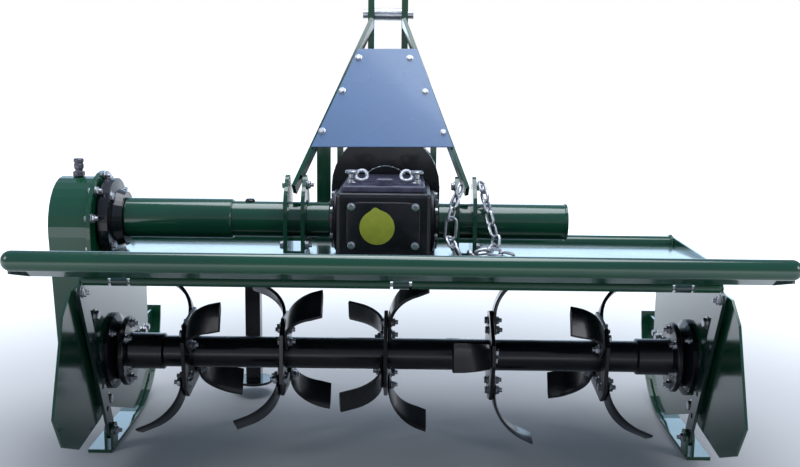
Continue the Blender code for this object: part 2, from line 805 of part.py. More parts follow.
def make_rotor():
    place = (0.0, 0.0, rotor_height)
    flange_out = half_inner - rotor_end_clearance
    flange_in = flange_out - rotor_flange_thickness
    stub_end = half_inner + side_thickness * 0.6
    outline = [(0.0, stub_end), (stub_radius, stub_end), (stub_radius, flange_out)]
    outline += [(rotor_flange_radius, flange_out), (rotor_flange_radius, flange_in)]
    outline += [(rotor_tube_radius, flange_in)]
    mirrored = [(radius, -height) for radius, height in reversed(outline)]
    tube = turned(outline + mirrored, turn_to_x, place, 28)
    settle(tube, "rotor_tube", black, "rotor")

    for name, side in (("left", -1), ("right", 1)):
        near = half_inner - gap
        far = flange_out + 0.006
        bore = stub_radius + running
        rim = near - 0.008
        ring = [(bearing_radius, near), (bearing_radius, rim), (0.056, far), (bore, far), (bore, near)]
        if side < 0:
            ring = [(radius, -height) for radius, height in reversed(ring)]
        housing = turned(ring, turn_to_x, place, 28, ring=True)
        settle(housing, "rotor_bearing_" + name, black)

    for number, (along, start) in enumerate(zip(tine_set_places, tine_set_turns), 1):
        make_tine_set(number, along, start)


def make_tine_set(number, along, start):
    """A square flange on the rotor tube and four bent tines, turned one after another to each side."""
    half = tine_flange_half
    clip = tine_flange_corner
    square = []
    for across, up in ((1, 1), (-1, 1), (-1, -1), (1, -1)):
        first = (across * half, up * (half - clip))
        second = (across * (half - clip), up * half)
        square += [first, second] if across * up > 0 else [second, first]
    tilt = Matrix.Rotation(math.radians(45.0 - start), 2)
    square = [tuple(tilt @ Vector(point)) for point in square]
    bore = circle((0.0, 0.0), rotor_tube_radius + gap, 28)
    flange = as_mesh(flat(square, tine_flange_thickness, turn_to_x, (along, 0.0, rotor_height), [bore]))
    for quarter in range(4):
        bend = -1 if quarter % 2 == 0 else 1
        angle = start + 90.0 * quarter
        tine = make_tine(bend)
        seat = bend * (tine_flange_thickness / 2 + tine_thickness / 2 - 0.0005)
        swing = Matrix.Rotation(math.radians(-angle), 4, "X")
        tine.matrix_basis = Matrix.Translation((along + seat, 0.0, rotor_height)) @ swing
        join(flange, tine)
    settle(flange, "tine_set_%d" % number, black, "rotor")


def make_tine(bend):
    """One tine hanging straight down: a flat shank, a round bend to the side and a straight tip."""
    columns = 12
    body = bmesh.new()
    bmesh.ops.create_grid(body, x_segments=columns, y_segments=2, size=1.0)
    for vertex in body.verts:
        share = (vertex.co.x + 1.0) / 2.0
        across = vertex.co.y
        side, out, blade = tine_path(share)
        width = tine_shank_width + (tine_blade_width - tine_shank_width) * blade
        shift = across * width / 2
        relief = shift * math.tan(math.radians(tine_relief_degrees)) * blade
        vertex.co = (bend * side, -shift, -(out + relief))
    if bend > 0:
        bmesh.ops.reverse_faces(body, faces=body.faces)
    mesh = bpy.data.meshes.new("tine")
    body.to_mesh(mesh)
    body.free()
    tine = mesh_object("tine", mesh)
    skin = tine.modifiers.new("Solidify", "SOLIDIFY")
    skin.thickness = tine_thickness
    skin.offset = 0.0
    return tine


def tine_path(share):
    """Sideways and outward place of a tine's middle line, and how far it is blade and not shank."""
    turn = math.radians(tine_bend_degrees)
    shank = tine_bend_start - tine_root
    curve = tine_bend_radius * turn
    run = share * (shank + curve + tine_tip_length)
    if run <= shank:
        return 0.0, tine_root + run, 0.0
    if run <= shank + curve:
        angle = (run - shank) / tine_bend_radius
        side = tine_bend_radius * (1.0 - math.cos(angle))
        return side, tine_bend_start + tine_bend_radius * math.sin(angle), angle / turn
    rest = run - shank - curve
    side = tine_bend_radius * (1.0 - math.cos(turn)) + rest * math.sin(turn)
    return side, tine_bend_start + tine_bend_radius * math.sin(turn) + rest * math.cos(turn), 1.0


def make_tailboard():
    reach = half_inner - tail_side_gap
    slope = math.radians(tail_slope_degrees)
    rise = math.radians(lip_slope_degrees)
    mid_radius = hinge_barrel_radius - tail_thickness / 2
    start = (hinge_y, hinge_z + mid_radius)
    kink = (start[0] - tail_length * math.cos(slope), start[1] + tail_length * math.sin(slope))
    edge = (kink[0] - lip_length * math.cos(rise), kink[1] + lip_length * math.sin(rise))
    line = [start, kink, edge]
    board = as_mesh(flat(sheet(line, tail_thickness), 2 * reach, turn_to_x, (0.0, 0.0, 0.0)))
    barrel = drum(hinge_barrel_radius, -reach, reach, turn_to_x, (0.0, hinge_y, hinge_z), 20)
    bore = drum(hinge_pin_radius + gap, -reach - 0.01, reach + 0.01, turn_to_x, (0.0, hinge_y, hinge_z), 16)
    join(board, barrel)
    cut(board, bore)
    for place in hinge_lugs():
        half = hinge_lug_width / 2 + hinge_side_gap
        room = hinge_barrel_radius + 0.012
        low = (place - half, hinge_y - room, hinge_z - room)
        high = (place + half, hinge_y + room, hinge_z + room)
        cut(board, block(low, high))
    settle(board, "tailboard", green, "tailboard_hinge")

    away = tail_tube_radius + gap
    centre = (edge[0] - away * math.cos(rise), edge[1] + away * math.sin(rise))
    profile = [(0.0, reach)]
    for height, radius in arc((reach - tail_tube_radius, 0.0), tail_tube_radius, 15.0, 90.0, 5):
        profile.append((radius, height))
    mirrored = [(radius, -height) for radius, height in reversed(profile)]
    tube = turned(profile + mirrored, turn_to_x, (0.0, centre[0], centre[1]), 24)
    settle(tube, "tailboard_tube", green, "tailboard_hinge")

    below = tail_thickness / 2 + gap
    crease = (kink[0], kink[1] - below * 1.03)
    rear = (edge[0] + 0.004, edge[1] - below - 0.004)
    toe = (edge[0] + 0.004, edge[1] - gusset_drop)
    for name, side in (("left", -1), ("right", 1)):
        middle = side * (reach - 0.002 - gusset_thickness / 2)
        plate = flat([crease, rear, toe], gusset_thickness, turn_to_x, (middle, 0.0, 0.0))
        settle(plate, "tailboard_gusset_" + name, dark_green, "tailboard_hinge")

    lug_y = hinge_y - 0.062
    base = hinge_z + mid_radius + (hinge_y - lug_y) * math.tan(slope) + below + 0.004
    lug = [(lug_y - 0.014, base), (lug_y + 0.014, base), *arc((lug_y, base + 0.010), 0.014, 0.0, 180.0, 6)]
    eye = circle((lug_y, base + 0.010), 0.006, 12)
    lug_plate = flat(lug, 0.005, turn_to_x, (clamp_right_x + 0.022, 0.0, 0.0), [eye])
    settle(lug_plate, "chain_lug", zinc, "tailboard_hinge")


def make_chain():
    """The slack chain from the right clamp's bolt, behind the drive tube and down onto the hood."""
    top_x = clamp_right_x + clamp_gap / 2 + clamp_plate + 0.010
    near = drive_radius + chain_radius + chain_clearance
    far = near + 0.014
    points = [(top_x, 0.0, brace_foot_z), (top_x + 0.004, -near * 0.62, drive_height + near * 0.785)]
    points += [(top_x + 0.014, -far, drive_height - 0.007)]
    points += [(top_x + 0.012, -far - 0.030, hood_height + 0.020)]
    points += [(top_x + 0.002, -far - 0.062, hood_height + 0.015)]
    points += [(top_x - 0.004, -far - 0.098, hood_height + 0.009)]
    settle(bar(points, chain_radius, 1), "tailboard_chain", zinc)


def main():
    global parts, cutters
    clear_scene()
    parts = new_collection("rotary_tiller")
    cutters = new_collection("rotary_tiller_cutters")
    slope = math.radians(tail_slope_degrees)
    rise = math.radians(lip_slope_degrees)
    rear_edge = hinge_y - tail_length * math.cos(slope) - (lip_length + tail_tube_radius) * math.cos(rise)
    rear_edge -= tail_tube_radius
    front_edge = skid_bend_y + skid_bend_radius * math.sin(math.radians(skid_bend_degrees))
    middle = Vector((-(left_edge + right_edge) / 2, -(rear_edge + front_edge) / 2, 0.0))
    frame = new_body("frame", middle)
    new_body("rotor", middle + Vector((0.0, 0.0, rotor_height)), frame)
    new_body("pto", middle + Vector((centre_x, gearbox_front, pto_height)), frame)
    new_body("tailboard_hinge", middle + Vector((0.0, hinge_y, hinge_z)), frame)
    new_body("stand", middle + Vector((stand_middle(), stand_y, 0.0)), frame)
    make_sides()
    make_hood()
    make_skids()
    make_chain_case()
    make_drive_line()
    make_gearbox()
    make_clamps()
    make_mast()
    make_hitch()
    make_stand()
    make_rotor()
    make_tailboard()
    make_chain()


main()
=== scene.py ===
import math

import bpy
import numpy as np
from mathutils import Matrix, Vector


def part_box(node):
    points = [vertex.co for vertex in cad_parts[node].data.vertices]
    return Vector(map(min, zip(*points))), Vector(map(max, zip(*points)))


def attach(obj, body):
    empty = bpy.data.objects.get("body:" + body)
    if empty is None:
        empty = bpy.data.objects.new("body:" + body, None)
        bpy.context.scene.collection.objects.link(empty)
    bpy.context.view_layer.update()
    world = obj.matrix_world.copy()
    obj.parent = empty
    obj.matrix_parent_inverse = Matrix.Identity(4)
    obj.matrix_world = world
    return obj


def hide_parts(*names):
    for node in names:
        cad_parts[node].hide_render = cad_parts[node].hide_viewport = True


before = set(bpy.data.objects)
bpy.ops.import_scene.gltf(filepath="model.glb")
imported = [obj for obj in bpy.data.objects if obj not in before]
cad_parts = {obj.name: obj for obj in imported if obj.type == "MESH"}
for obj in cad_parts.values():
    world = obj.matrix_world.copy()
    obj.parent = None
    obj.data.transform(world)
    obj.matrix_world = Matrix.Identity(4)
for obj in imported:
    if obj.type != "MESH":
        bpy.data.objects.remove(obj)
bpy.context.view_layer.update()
print("frame loaded:", len(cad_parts), "nodes")


def low(node):
    return np.array(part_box(node)[0])


def high(node):
    return np.array(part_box(node)[1])


def middle(node):
    return (low(node) + high(node)) / 2


rotorAxis = middle("rotor_tube")
driveAxis = middle("drive_tube")
ptoAxis = middle("pto_shaft")
sideways = np.array([1.0, 0.0, 0.0])
forwards = np.array([0.0, 1.0, 0.0])
upwards = np.array([0.0, 0.0, 1.0])


def onDrive(x):
    return x, driveAxis[1], driveAxis[2]


def unit(v):
    return v / np.linalg.norm(v, axis=-1, keepdims=True)


def gridQuads(rows, columns, wrapRows=False):
    # every grid cell as one quad; the columns always close on themselves
    r, c = np.meshgrid(np.arange(rows if wrapRows else rows - 1), np.arange(columns), indexing="ij")
    nextRow, nextColumn = (r + 1) % rows, (c + 1) % columns
    corners = [r * columns + c, r * columns + nextColumn,
               nextRow * columns + nextColumn, nextRow * columns + c]
    return np.stack(corners, -1).reshape(-1, 4).tolist()


def loft(rings, wrapRows=False):
    # a stack of closed rings, each counter-clockwise about the way the stack goes, capped at both ends
    rows, columns = rings.shape[:2]
    faces = gridQuads(rows, columns, wrapRows)
    if not wrapRows:
        first = np.arange(columns)
        faces += [first[::-1].tolist(), (first + (rows - 1) * columns).tolist()]
    return rings.reshape(-1, 3), faces


def axesAbout(direction):
    # two directions square to the one given and to each other, right-handed with it
    t = unit(np.array(direction, float))
    helper = upwards if abs(t[2]) < 0.9 else sideways
    u = unit(np.cross(helper, t))
    return u, np.cross(t, u), t


def revolve(profile, origin, direction, sides=48, ring=False, turn=0.0):
    # point = origin + radius(s) * (cos a * u + sin a * v) + height(s) * t, over profile place s and angle a
    u, v, t = axesAbout(direction)
    profile = np.array(profile, float)
    a = np.linspace(0, 2 * np.pi, sides, endpoint=False) + turn
    around = np.cos(a)[:, None] * u + np.sin(a)[:, None] * v
    points = profile[:, 0][:, None, None] * around[None] + profile[:, 1][:, None, None] * t
    return loft(points + np.array(origin), ring)


def sweep(path, radius, sides=10, closed=False, reference=None):
    # a tube: ring k = path(k) + radius * (cos a * u(k) + sin a * v(k)), u and v square to the path there
    path = np.array(path, float)
    if closed:
        tangent = np.roll(path, -1, 0) - np.roll(path, 1, 0)
    else:
        tangent = np.gradient(path, axis=0)
    tangent = unit(tangent)
    reference = upwards if reference is None else np.array(reference, float)
    u = unit(np.cross(reference, tangent))
    v = np.cross(tangent, u)
    a = np.linspace(0, 2 * np.pi, sides, endpoint=False)
    radius = np.broadcast_to(radius, len(path))[:, None, None]
    around = np.cos(a)[None, :, None] * u[:, None] + np.sin(a)[None, :, None] * v[:, None]
    rings = path[:, None] + radius * around
    return loft(rings, closed)


def insetOutline(outline, amount):
    # every corner moves in along the mean of its two edges' inward normals
    before = unit(outline - np.roll(outline, 1, 0))
    after = unit(np.roll(outline, -1, 0) - outline)
    inward = unit(np.stack([-(before + after)[:, 1], (before + after)[:, 0]], -1))
    square = np.stack([-after[:, 1], after[:, 0]], -1)
    return outline + inward * (amount / np.maximum((inward * square).sum(1), 0.4))[:, None]


def plate(outline, thickness, origin, across, up, edge=0.0012):
    # a flat plate with rounded edges: the outline, inset at both faces, stacked along across x up
    outline = np.array(outline, float)
    across, up = np.array(across, float), np.array(up, float)
    normal = np.cross(across, up)
    half = thickness / 2
    steps = [(edge, -half), (edge * 0.3, -half + edge * 0.3), (0, -half + edge)]
    steps += [(0, half - edge), (edge * 0.3, half - edge * 0.3), (edge, half)]
    rings = []
    for inset, height in steps:
        flat = insetOutline(outline, inset) if inset else outline
        rings.append(flat[:, :1] * across + flat[:, 1:] * up + normal * height)
    return loft(np.array(rings) + np.array(origin))


def superRing(half, power, count):
    # a rounded rectangle on the ground plane: |x/a|^n + |y/b|^n = 1
    a = np.linspace(0, 2 * np.pi, count, endpoint=False)
    x, y = (np.sign(w) * np.abs(w) ** (2 / power) for w in (np.cos(a), np.sin(a)))
    return np.stack([x * half[0], y * half[1], np.zeros(count)], -1)


def circleSpots(centre, radius, degrees):
    # places on a circle that faces sideways: y + r cos a, z + r sin a
    return [(centre[0], centre[1] + radius * math.cos(a), centre[2] + radius * math.sin(a))
            for a in np.radians(degrees)]


def together(shapes):
    # several shapes as one list of points and faces
    points, faces, count = [], [], 0
    for shapePoints, shapeFaces in shapes:
        points.append(shapePoints)
        faces += [[index + count for index in face] for face in shapeFaces]
        count += len(shapePoints)
    return np.concatenate(points), faces


def movedTo(shape, origin, direction, roll=0.0):
    # a shape drawn about its own Z axis, set on a place and pointed along a direction
    points, faces = shape
    u, v, t = axesAbout(direction)
    c, s = math.cos(roll), math.sin(roll)
    turned = np.stack([points[:, 0] * c - points[:, 1] * s,
                       points[:, 0] * s + points[:, 1] * c, points[:, 2]], -1)
    return turned @ np.array([u, v, t]) + np.array(origin), faces


def makePiece(name, shape, material, body, replaced=(), sharp=32):
    points, faces = shape
    mesh = bpy.data.meshes.new(name)
    mesh.from_pydata(points.tolist(), [], faces)
    mesh.validate()
    mesh.shade_smooth()
    mesh.set_sharp_from_angle(angle=math.radians(sharp))
    piece = bpy.data.objects.new(name, mesh)
    bpy.context.scene.collection.objects.link(piece)
    mesh.materials.append(material)
    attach(piece, body)
    if replaced:
        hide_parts(*replaced)
    return piece


def newGroup(name, inputs, outputs):
    group = bpy.data.node_groups.new(name, "ShaderNodeTree")
    for label, kind, value in inputs:
        socket = group.interface.new_socket(name=label, in_out="INPUT", socket_type=kind)
        socket.default_value = value
    for label, kind in outputs:
        group.interface.new_socket(name=label, in_out="OUTPUT", socket_type=kind)
    place = group.nodes.new("ShaderNodeTexCoord").outputs["Object"]
    return group, place, group.nodes.new("NodeGroupInput"), group.nodes.new("NodeGroupOutput")


def mathNode(tree, operation, first, second):
    node = tree.nodes.new("ShaderNodeMath")
    node.operation = operation
    node.use_clamp = operation in ("ADD", "MULTIPLY", "SUBTRACT")
    for socket, value in zip(node.inputs, (first, second)):
        if isinstance(value, (int, float)):
            socket.default_value = value
        else:
            tree.links.new(value, socket)
    return node.outputs[0]


def noiseNode(tree, vector, scale, detail=4.0, roughness=0.55):
    node = tree.nodes.new("ShaderNodeTexNoise")
    node.inputs["Detail"].default_value = detail
    node.inputs["Roughness"].default_value = roughness
    tree.links.new(vector, node.inputs["Vector"])
    if isinstance(scale, (int, float)):
        node.inputs["Scale"].default_value = scale
    else:
        tree.links.new(scale, node.inputs["Scale"])
    return node.outputs["Fac"]


def rampNode(tree, value, start, end):
    node = tree.nodes.new("ShaderNodeMapRange")
    node.interpolation_type = "SMOOTHSTEP"
    node.inputs["From Min"].default_value = start
    node.inputs["From Max"].default_value = end
    tree.links.new(value, node.inputs["Value"])
    return node.outputs[0]


def weightedSum(tree, first, firstShare, second, secondShare):
    return mathNode(tree, "ADD", mathNode(tree, "MULTIPLY", first, firstShare),
                    mathNode(tree, "MULTIPLY", second, secondShare))


def buildCoatGroup():
    # a sprayed coat: slow colour drift, fine orange peel, and small specks
    group, place, given, out = newGroup(
        "sprayedCoat",
        [("Peel Scale", "NodeSocketFloat", 260.0), ("Drift Scale", "NodeSocketFloat", 5.0)],
        [("Drift", "NodeSocketFloat"), ("Peel", "NodeSocketFloat"), ("Specks", "NodeSocketFloat")],
    )
    drift = noiseNode(group, place, given.outputs["Drift Scale"], 3.0)
    peel = noiseNode(group, place, given.outputs["Peel Scale"], 2.0)
    wave = noiseNode(group, place, 22.0, 2.0)
    height = weightedSum(group, peel, 0.35, wave, 0.65)
    specks = rampNode(group, noiseNode(group, place, 620.0, 1.0), 0.70, 0.78)
    group.links.new(rampNode(group, drift, 0.35, 0.65), out.inputs["Drift"])
    group.links.new(height, out.inputs["Peel"])
    group.links.new(specks, out.inputs["Specks"])
    return group


def buildDustSheenGroup():
    # thin dust with a painted sheen: more on faces that look up, and low down near the floor, broken up by noise
    group, place, given, out = newGroup(
        "dustAndPaintedSheen",
        [("Amount", "NodeSocketFloat", 0.2), ("Scale", "NodeSocketFloat", 14.0)],
        [("Mask", "NodeSocketFloat")],
    )
    normal = group.nodes.new("ShaderNodeNewGeometry").outputs["Normal"]
    split = group.nodes.new("ShaderNodeSeparateXYZ")
    group.links.new(normal, split.inputs[0])
    facing = rampNode(group, split.outputs["Z"], 0.2, 1.0)
    height = group.nodes.new("ShaderNodeSeparateXYZ")
    group.links.new(place, height.inputs[0])
    lowDown = rampNode(group, mathNode(group, "SUBTRACT", 0.25, height.outputs["Z"]), 0.0, 0.25)
    cloud = rampNode(group, noiseNode(group, place, given.outputs["Scale"], 6.0, 0.65), 0.35, 0.75)
    both = mathNode(group, "ADD", facing, mathNode(group, "MULTIPLY", lowDown, 0.6))
    mask = mathNode(group, "MULTIPLY", mathNode(group, "MULTIPLY", both, cloud), given.outputs["Amount"])
    group.links.new(mask, out.inputs["Mask"])
    return group


def buildCastGroup():
    # sand-cast skin: coarse lumps under fine grit
    group, place, given, out = newGroup(
        "castSkin",
        [("Grit Scale", "NodeSocketFloat", 420.0), ("Lump Scale", "NodeSocketFloat", 45.0)],
        [("Height", "NodeSocketFloat"), ("Tone", "NodeSocketFloat")],
    )
    grit = noiseNode(group, place, given.outputs["Grit Scale"], 3.0, 0.7)
    lumps = noiseNode(group, place, given.outputs["Lump Scale"], 4.0)
    height = weightedSum(group, grit, 0.6, lumps, 0.5)
    group.links.new(height, out.inputs["Height"])
    group.links.new(rampNode(group, lumps, 0.3, 0.7), out.inputs["Tone"])
    return group


coatGroup = buildCoatGroup()
dustSheenGroup = buildDustSheenGroup()
castGroup = buildCastGroup()


def placeGroup(tree, group, **values):
    node = tree.nodes.new("ShaderNodeGroup")
    node.node_tree = group
    for label, value in values.items():
        node.inputs[label.replace("_", " ")].default_value = value
    return node


def mixColour(tree, factor, first, second):
    node = tree.nodes.new("ShaderNodeMix")
    node.data_type = "RGBA"
    tree.links.new(factor, node.inputs["Factor"])
    for socket, value in ((node.inputs["A"], first), (node.inputs["B"], second)):
        if isinstance(value, tuple):
            socket.default_value = (*value, 1.0)
        else:
            tree.links.new(value, socket)
    return node.outputs["Result"]


finishSettings = {
    "paintDepth": 0.0006, "castDepth": 0.0008, "metalDepth": 0.0004, "metalBump": 0.25,
    "dustRoughness": 0.5, "castSpread": 0.15, "metalSpread": 0.25,
}


def newMaterial(name):
    material = bpy.data.materials.new(name)
    material.use_nodes = True
    return material, material.node_tree, material.node_tree.nodes["Principled BSDF"]


def addBump(tree, shader, height, strength, depth):
    bump = tree.nodes.new("ShaderNodeBump")
    bump.inputs["Strength"].default_value = strength
    bump.inputs["Distance"].default_value = depth
    tree.links.new(height, bump.inputs["Height"])
    tree.links.new(bump.outputs["Normal"], shader.inputs["Normal"])
    return bump


def addRoughness(tree, shader, mask, spread, least):
    # roughness = least + spread * mask
    rough = mathNode(tree, "ADD", mathNode(tree, "MULTIPLY", mask, spread), least)
    tree.links.new(rough, shader.inputs["Roughness"])
    return rough


def paintMaterial(name, look):
    # glossy machine enamel over steel, with drift, orange peel and a little dust with a painted sheen
    material, tree, shader = newMaterial(name)
    coat = placeGroup(tree, coatGroup, Peel_Scale=look["peelScale"], Drift_Scale=look["driftScale"])
    dustAndSheen = placeGroup(tree, dustSheenGroup, Amount=look["dustAndSheen"])
    base = mixColour(tree, coat.outputs["Drift"], look["colour"], look["second"])
    specks = mathNode(tree, "MULTIPLY", coat.outputs["Specks"], look["specks"])
    speckled = mixColour(tree, specks, base, look["speck"])
    # painted sheen and dust: the mask lays a lighter tint of the enamel's own hue on faces that look up
    withDustAndSheen = mixColour(tree, dustAndSheen.outputs["Mask"], speckled, look["dustSheenColour"])
    tree.links.new(withDustAndSheen, shader.inputs["Base Color"])
    rough = addRoughness(tree, shader, coat.outputs["Drift"], look["roughSpread"], look["roughness"])
    dull = mathNode(tree, "MULTIPLY", dustAndSheen.outputs["Mask"], finishSettings["dustRoughness"])
    tree.links.new(mathNode(tree, "ADD", rough, dull), shader.inputs["Roughness"])
    edge = tree.nodes.new("ShaderNodeBevel")  # softens the pressed edges of the sheet
    edge.samples = 3
    edge.inputs["Radius"].default_value = look["edgeRadius"]
    bump = addBump(tree, shader, coat.outputs["Peel"], look["bump"], finishSettings["paintDepth"])
    tree.links.new(edge.outputs["Normal"], bump.inputs["Normal"])
    shader.inputs["Coat Weight"].default_value = look["coat"]
    shader.inputs["Coat Roughness"].default_value = look["coatRoughness"]
    shader.inputs["Specular IOR Level"].default_value = look["specular"]
    return material


def castMaterial(name, look):
    # painted casting: sand skin under satin paint
    material, tree, shader = newMaterial(name)
    skin = placeGroup(tree, castGroup, Grit_Scale=look["grit"], Lump_Scale=look["lumps"])
    dustAndSheen = placeGroup(tree, dustSheenGroup, Amount=look["dustAndSheen"])
    base = mixColour(tree, skin.outputs["Tone"], look["colour"], look["second"])
    # painted sheen and dust: the mask lays a lighter tint of the casting's own hue on faces that look up
    withDustAndSheen = mixColour(tree, dustAndSheen.outputs["Mask"], base, look["dustSheenColour"])
    tree.links.new(withDustAndSheen, shader.inputs["Base Color"])
    addRoughness(tree, shader, skin.outputs["Tone"], finishSettings["castSpread"], look["roughness"])
    addBump(tree, shader, skin.outputs["Height"], look["bump"], finishSettings["castDepth"])
    return material


def metalMaterial(name, look):
    # zinc or bare steel: fine grain and a cloudy tone
    material, tree, shader = newMaterial(name)
    skin = placeGroup(tree, castGroup, Grit_Scale=look["grit"], Lump_Scale=look["lumps"])
    base = mixColour(tree, skin.outputs["Tone"], look["colour"], look["second"])
    tree.links.new(base, shader.inputs["Base Color"])
    addRoughness(tree, shader, skin.outputs["Height"], finishSettings["metalSpread"], look["roughness"])
    addBump(tree, shader, skin.outputs["Height"], finishSettings["metalBump"], finishSettings["metalDepth"])
    shader.inputs["Metallic"].default_value = 1.0
    return material


# each dust tint colour is a lighter tint of its surface's own hue: dust mixed with a painted sheen on faces that
# look up
enamel = {
    "peelScale": 240.0, "driftScale": 4.0, "dustAndSheen": 0.06, "specks": 0.10, "speck": (0.10, 0.16, 0.14),
    "dustSheenColour": (0.10, 0.13, 0.13), "roughness": 0.14, "roughSpread": 0.08, "edgeRadius": 0.0016,
    "bump": 0.22, "coat": 0.6, "coatRoughness": 0.08, "specular": 0.5,
}
greenEnamel = paintMaterial("greenEnamel", {
    **enamel, "colour": (0.0030, 0.062, 0.026), "second": (0.0022, 0.048, 0.024),
})
deepEnamel = paintMaterial("deepGreenEnamel", {
    **enamel, "colour": (0.0020, 0.032, 0.024), "second": (0.0015, 0.024, 0.022),
})
guardEnamel = paintMaterial("guardEnamel", {
    **enamel, "colour": (0.120, 0.200, 0.360), "second": (0.105, 0.180, 0.325), "roughness": 0.24, "coat": 0.3,
})
blackEnamel = paintMaterial("blackEnamel", {
    **enamel, "colour": (0.0030, 0.0030, 0.0055), "second": (0.0045, 0.0045, 0.0080), "roughness": 0.24,
    "roughSpread": 0.14, "coat": 0.25, "dustAndSheen": 0.05, "bump": 0.35,
})
castBlack = castMaterial("castBlack", {
    "grit": 380.0, "lumps": 40.0, "dustAndSheen": 0.10, "colour": (0.004, 0.004, 0.006), "second": (0.009, 0.008, 0.013),
    "dustSheenColour": (0.10, 0.10, 0.13), "roughness": 0.30, "bump": 0.5,
})
# on the lid the lilac dust tint, at a larger amount, is a painted sheen on its upward faces mixed with dust
castLilac = castMaterial("castCover", {
    "grit": 300.0, "lumps": 60.0, "dustAndSheen": 0.25, "colour": (0.050, 0.050, 0.085), "second": (0.090, 0.085, 0.135),
    "dustSheenColour": (0.20, 0.19, 0.26), "roughness": 0.32, "bump": 0.5,
})
zincPlate = metalMaterial("zincPlate", {
    "grit": 700.0, "lumps": 120.0, "colour": (0.62, 0.63, 0.66), "second": (0.40, 0.41, 0.45), "roughness": 0.22,
})
darkSteel = metalMaterial("darkSteel", {
    "grit": 500.0, "lumps": 60.0, "colour": (0.16, 0.16, 0.18), "second": (0.09, 0.09, 0.11), "roughness": 0.30,
})
stickerYellow = castMaterial("stickerFilm", {
    "grit": 900.0, "lumps": 70.0, "dustAndSheen": 0.05, "colour": (0.42, 0.46, 0.045), "second": (0.36, 0.40, 0.040),
    "dustSheenColour": (0.40, 0.40, 0.20), "roughness": 0.34, "bump": 0.08,
})
print("materials made")

nodeLooks = {  # every node that isn't named here is green enamel
    deepEnamel: (
        "hood", "rear_angle", "skid_strut_left", "skid_strut_right",
        "tailboard_gusset_left", "tailboard_gusset_right",
    ),
    guardEnamel: ("mast_guard",),
    blackEnamel: (
        "pto_guard", "parking_stand", "rotor_tube", "rotor_bearing_left", "rotor_bearing_right",
        "tine_set_1", "tine_set_2", "tine_set_3", "tine_set_4", "tine_set_5", "drive_hub", "breather",
    ),
    castBlack: ("gearbox",),
    castLilac: ("gearbox_lid",),
    zincPlate: (
        "hinge_pin", "top_pin", "top_spacer", "hitch_pin_left", "hitch_pin_right",
        "tailboard_chain", "chain_lug",
    ),
    darkSteel: ("pto_shaft",),
}
for name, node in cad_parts.items():
    look = next((material for material, names in nodeLooks.items() if name in names), greenEnamel)
    for slot in node.material_slots:
        slot.material = look


def hexBolt(size, shank=0.0):
    # washer, hexagon head with a chamfered crown, and an optional threaded end past it, as shares of the size
    washer = revolve([(size * 1.15, 0), (size * 1.25, size * 0.06), (size * 1.25, size * 0.16),
                      (size * 1.1, size * 0.22)], (0, 0, 0), upwards, 24)
    head = revolve([(size * 0.96, size * 0.2), (size, size * 0.26), (size, size * 0.80),
                    (size * 0.86, size * 0.92)], (0, 0, 0), upwards, 6)
    shapes = [washer, head]
    if shank:
        pitch = size * 0.22
        turns = np.arange(0, shank / pitch, 0.5)
        radius = size * (0.50 + 0.05 * (np.arange(len(turns)) % 2))
        profile = np.stack([radius, size * 0.9 + turns * pitch], -1)
        shapes.append(revolve(profile, (0, 0, 0), upwards, 14))
    return together(shapes)


def boltRow(template, places, direction):
    return [movedTo(template, place, direction, index * 0.7) for index, place in enumerate(places)]


boltSizes = {"small": 0.0062, "medium": 0.0080, "large": 0.0100, "tine": 0.0088,
             "nutEnd": 0.007, "tineEnd": 0.006}
smallBolt = hexBolt(boltSizes["small"])
mediumBolt = hexBolt(boltSizes["medium"])
mediumNut = hexBolt(boltSizes["medium"], boltSizes["nutEnd"])
largeBolt = hexBolt(boltSizes["large"])
tineBolt = hexBolt(boltSizes["tine"], boltSizes["tineEnd"])

frameBoltSettings = {
    "caseRim": 0.004, "caseDegrees": (-20, 15, 50, 90, 130, 165, 200), "abovePlate": 0.012,
    "fourDegrees": (45, 135, 225, 315), "hubCircle": 0.068, "hubStep": 0.025,
    "clampTip": 0.020, "clampEdge": 0.012, "clampFoot": 0.016,
    "finPlaces": ((0.112, 0.300), (0.046, 0.108)),  # behind the fin's front edge, and above the floor
    "strutHole": 0.0175, "strutWall": 0.0062, "armReach": 0.1155, "armOffset": 0.004,
    "lugPlaces": (0.012, 0.040), "bearingCircle": 0.069, "bearingStep": 0.0125,
}


def caseBolts(sizes):
    # bolts on the flange of the chain case, round the arc at its top
    back, case = high("chain_case_back"), high("chain_case")
    width = case[1] - low("chain_case")[1]
    radius = (back[2] - case[2] + width) / 2 - sizes["caseRim"]
    spots = circleSpots((0.0, rotorAxis[1], case[2] - width / 2), radius, sizes["caseDegrees"])
    clear = high("side_plate_left")[2] + sizes["abovePlate"]
    inner = [(back[0], y, z) for x, y, z in spots if z > clear]
    outer = [(low("chain_case_back")[0], y, z) for x, y, z in spots]
    return boltRow(mediumNut, inner, sideways) + boltRow(smallBolt, outer, -sideways)


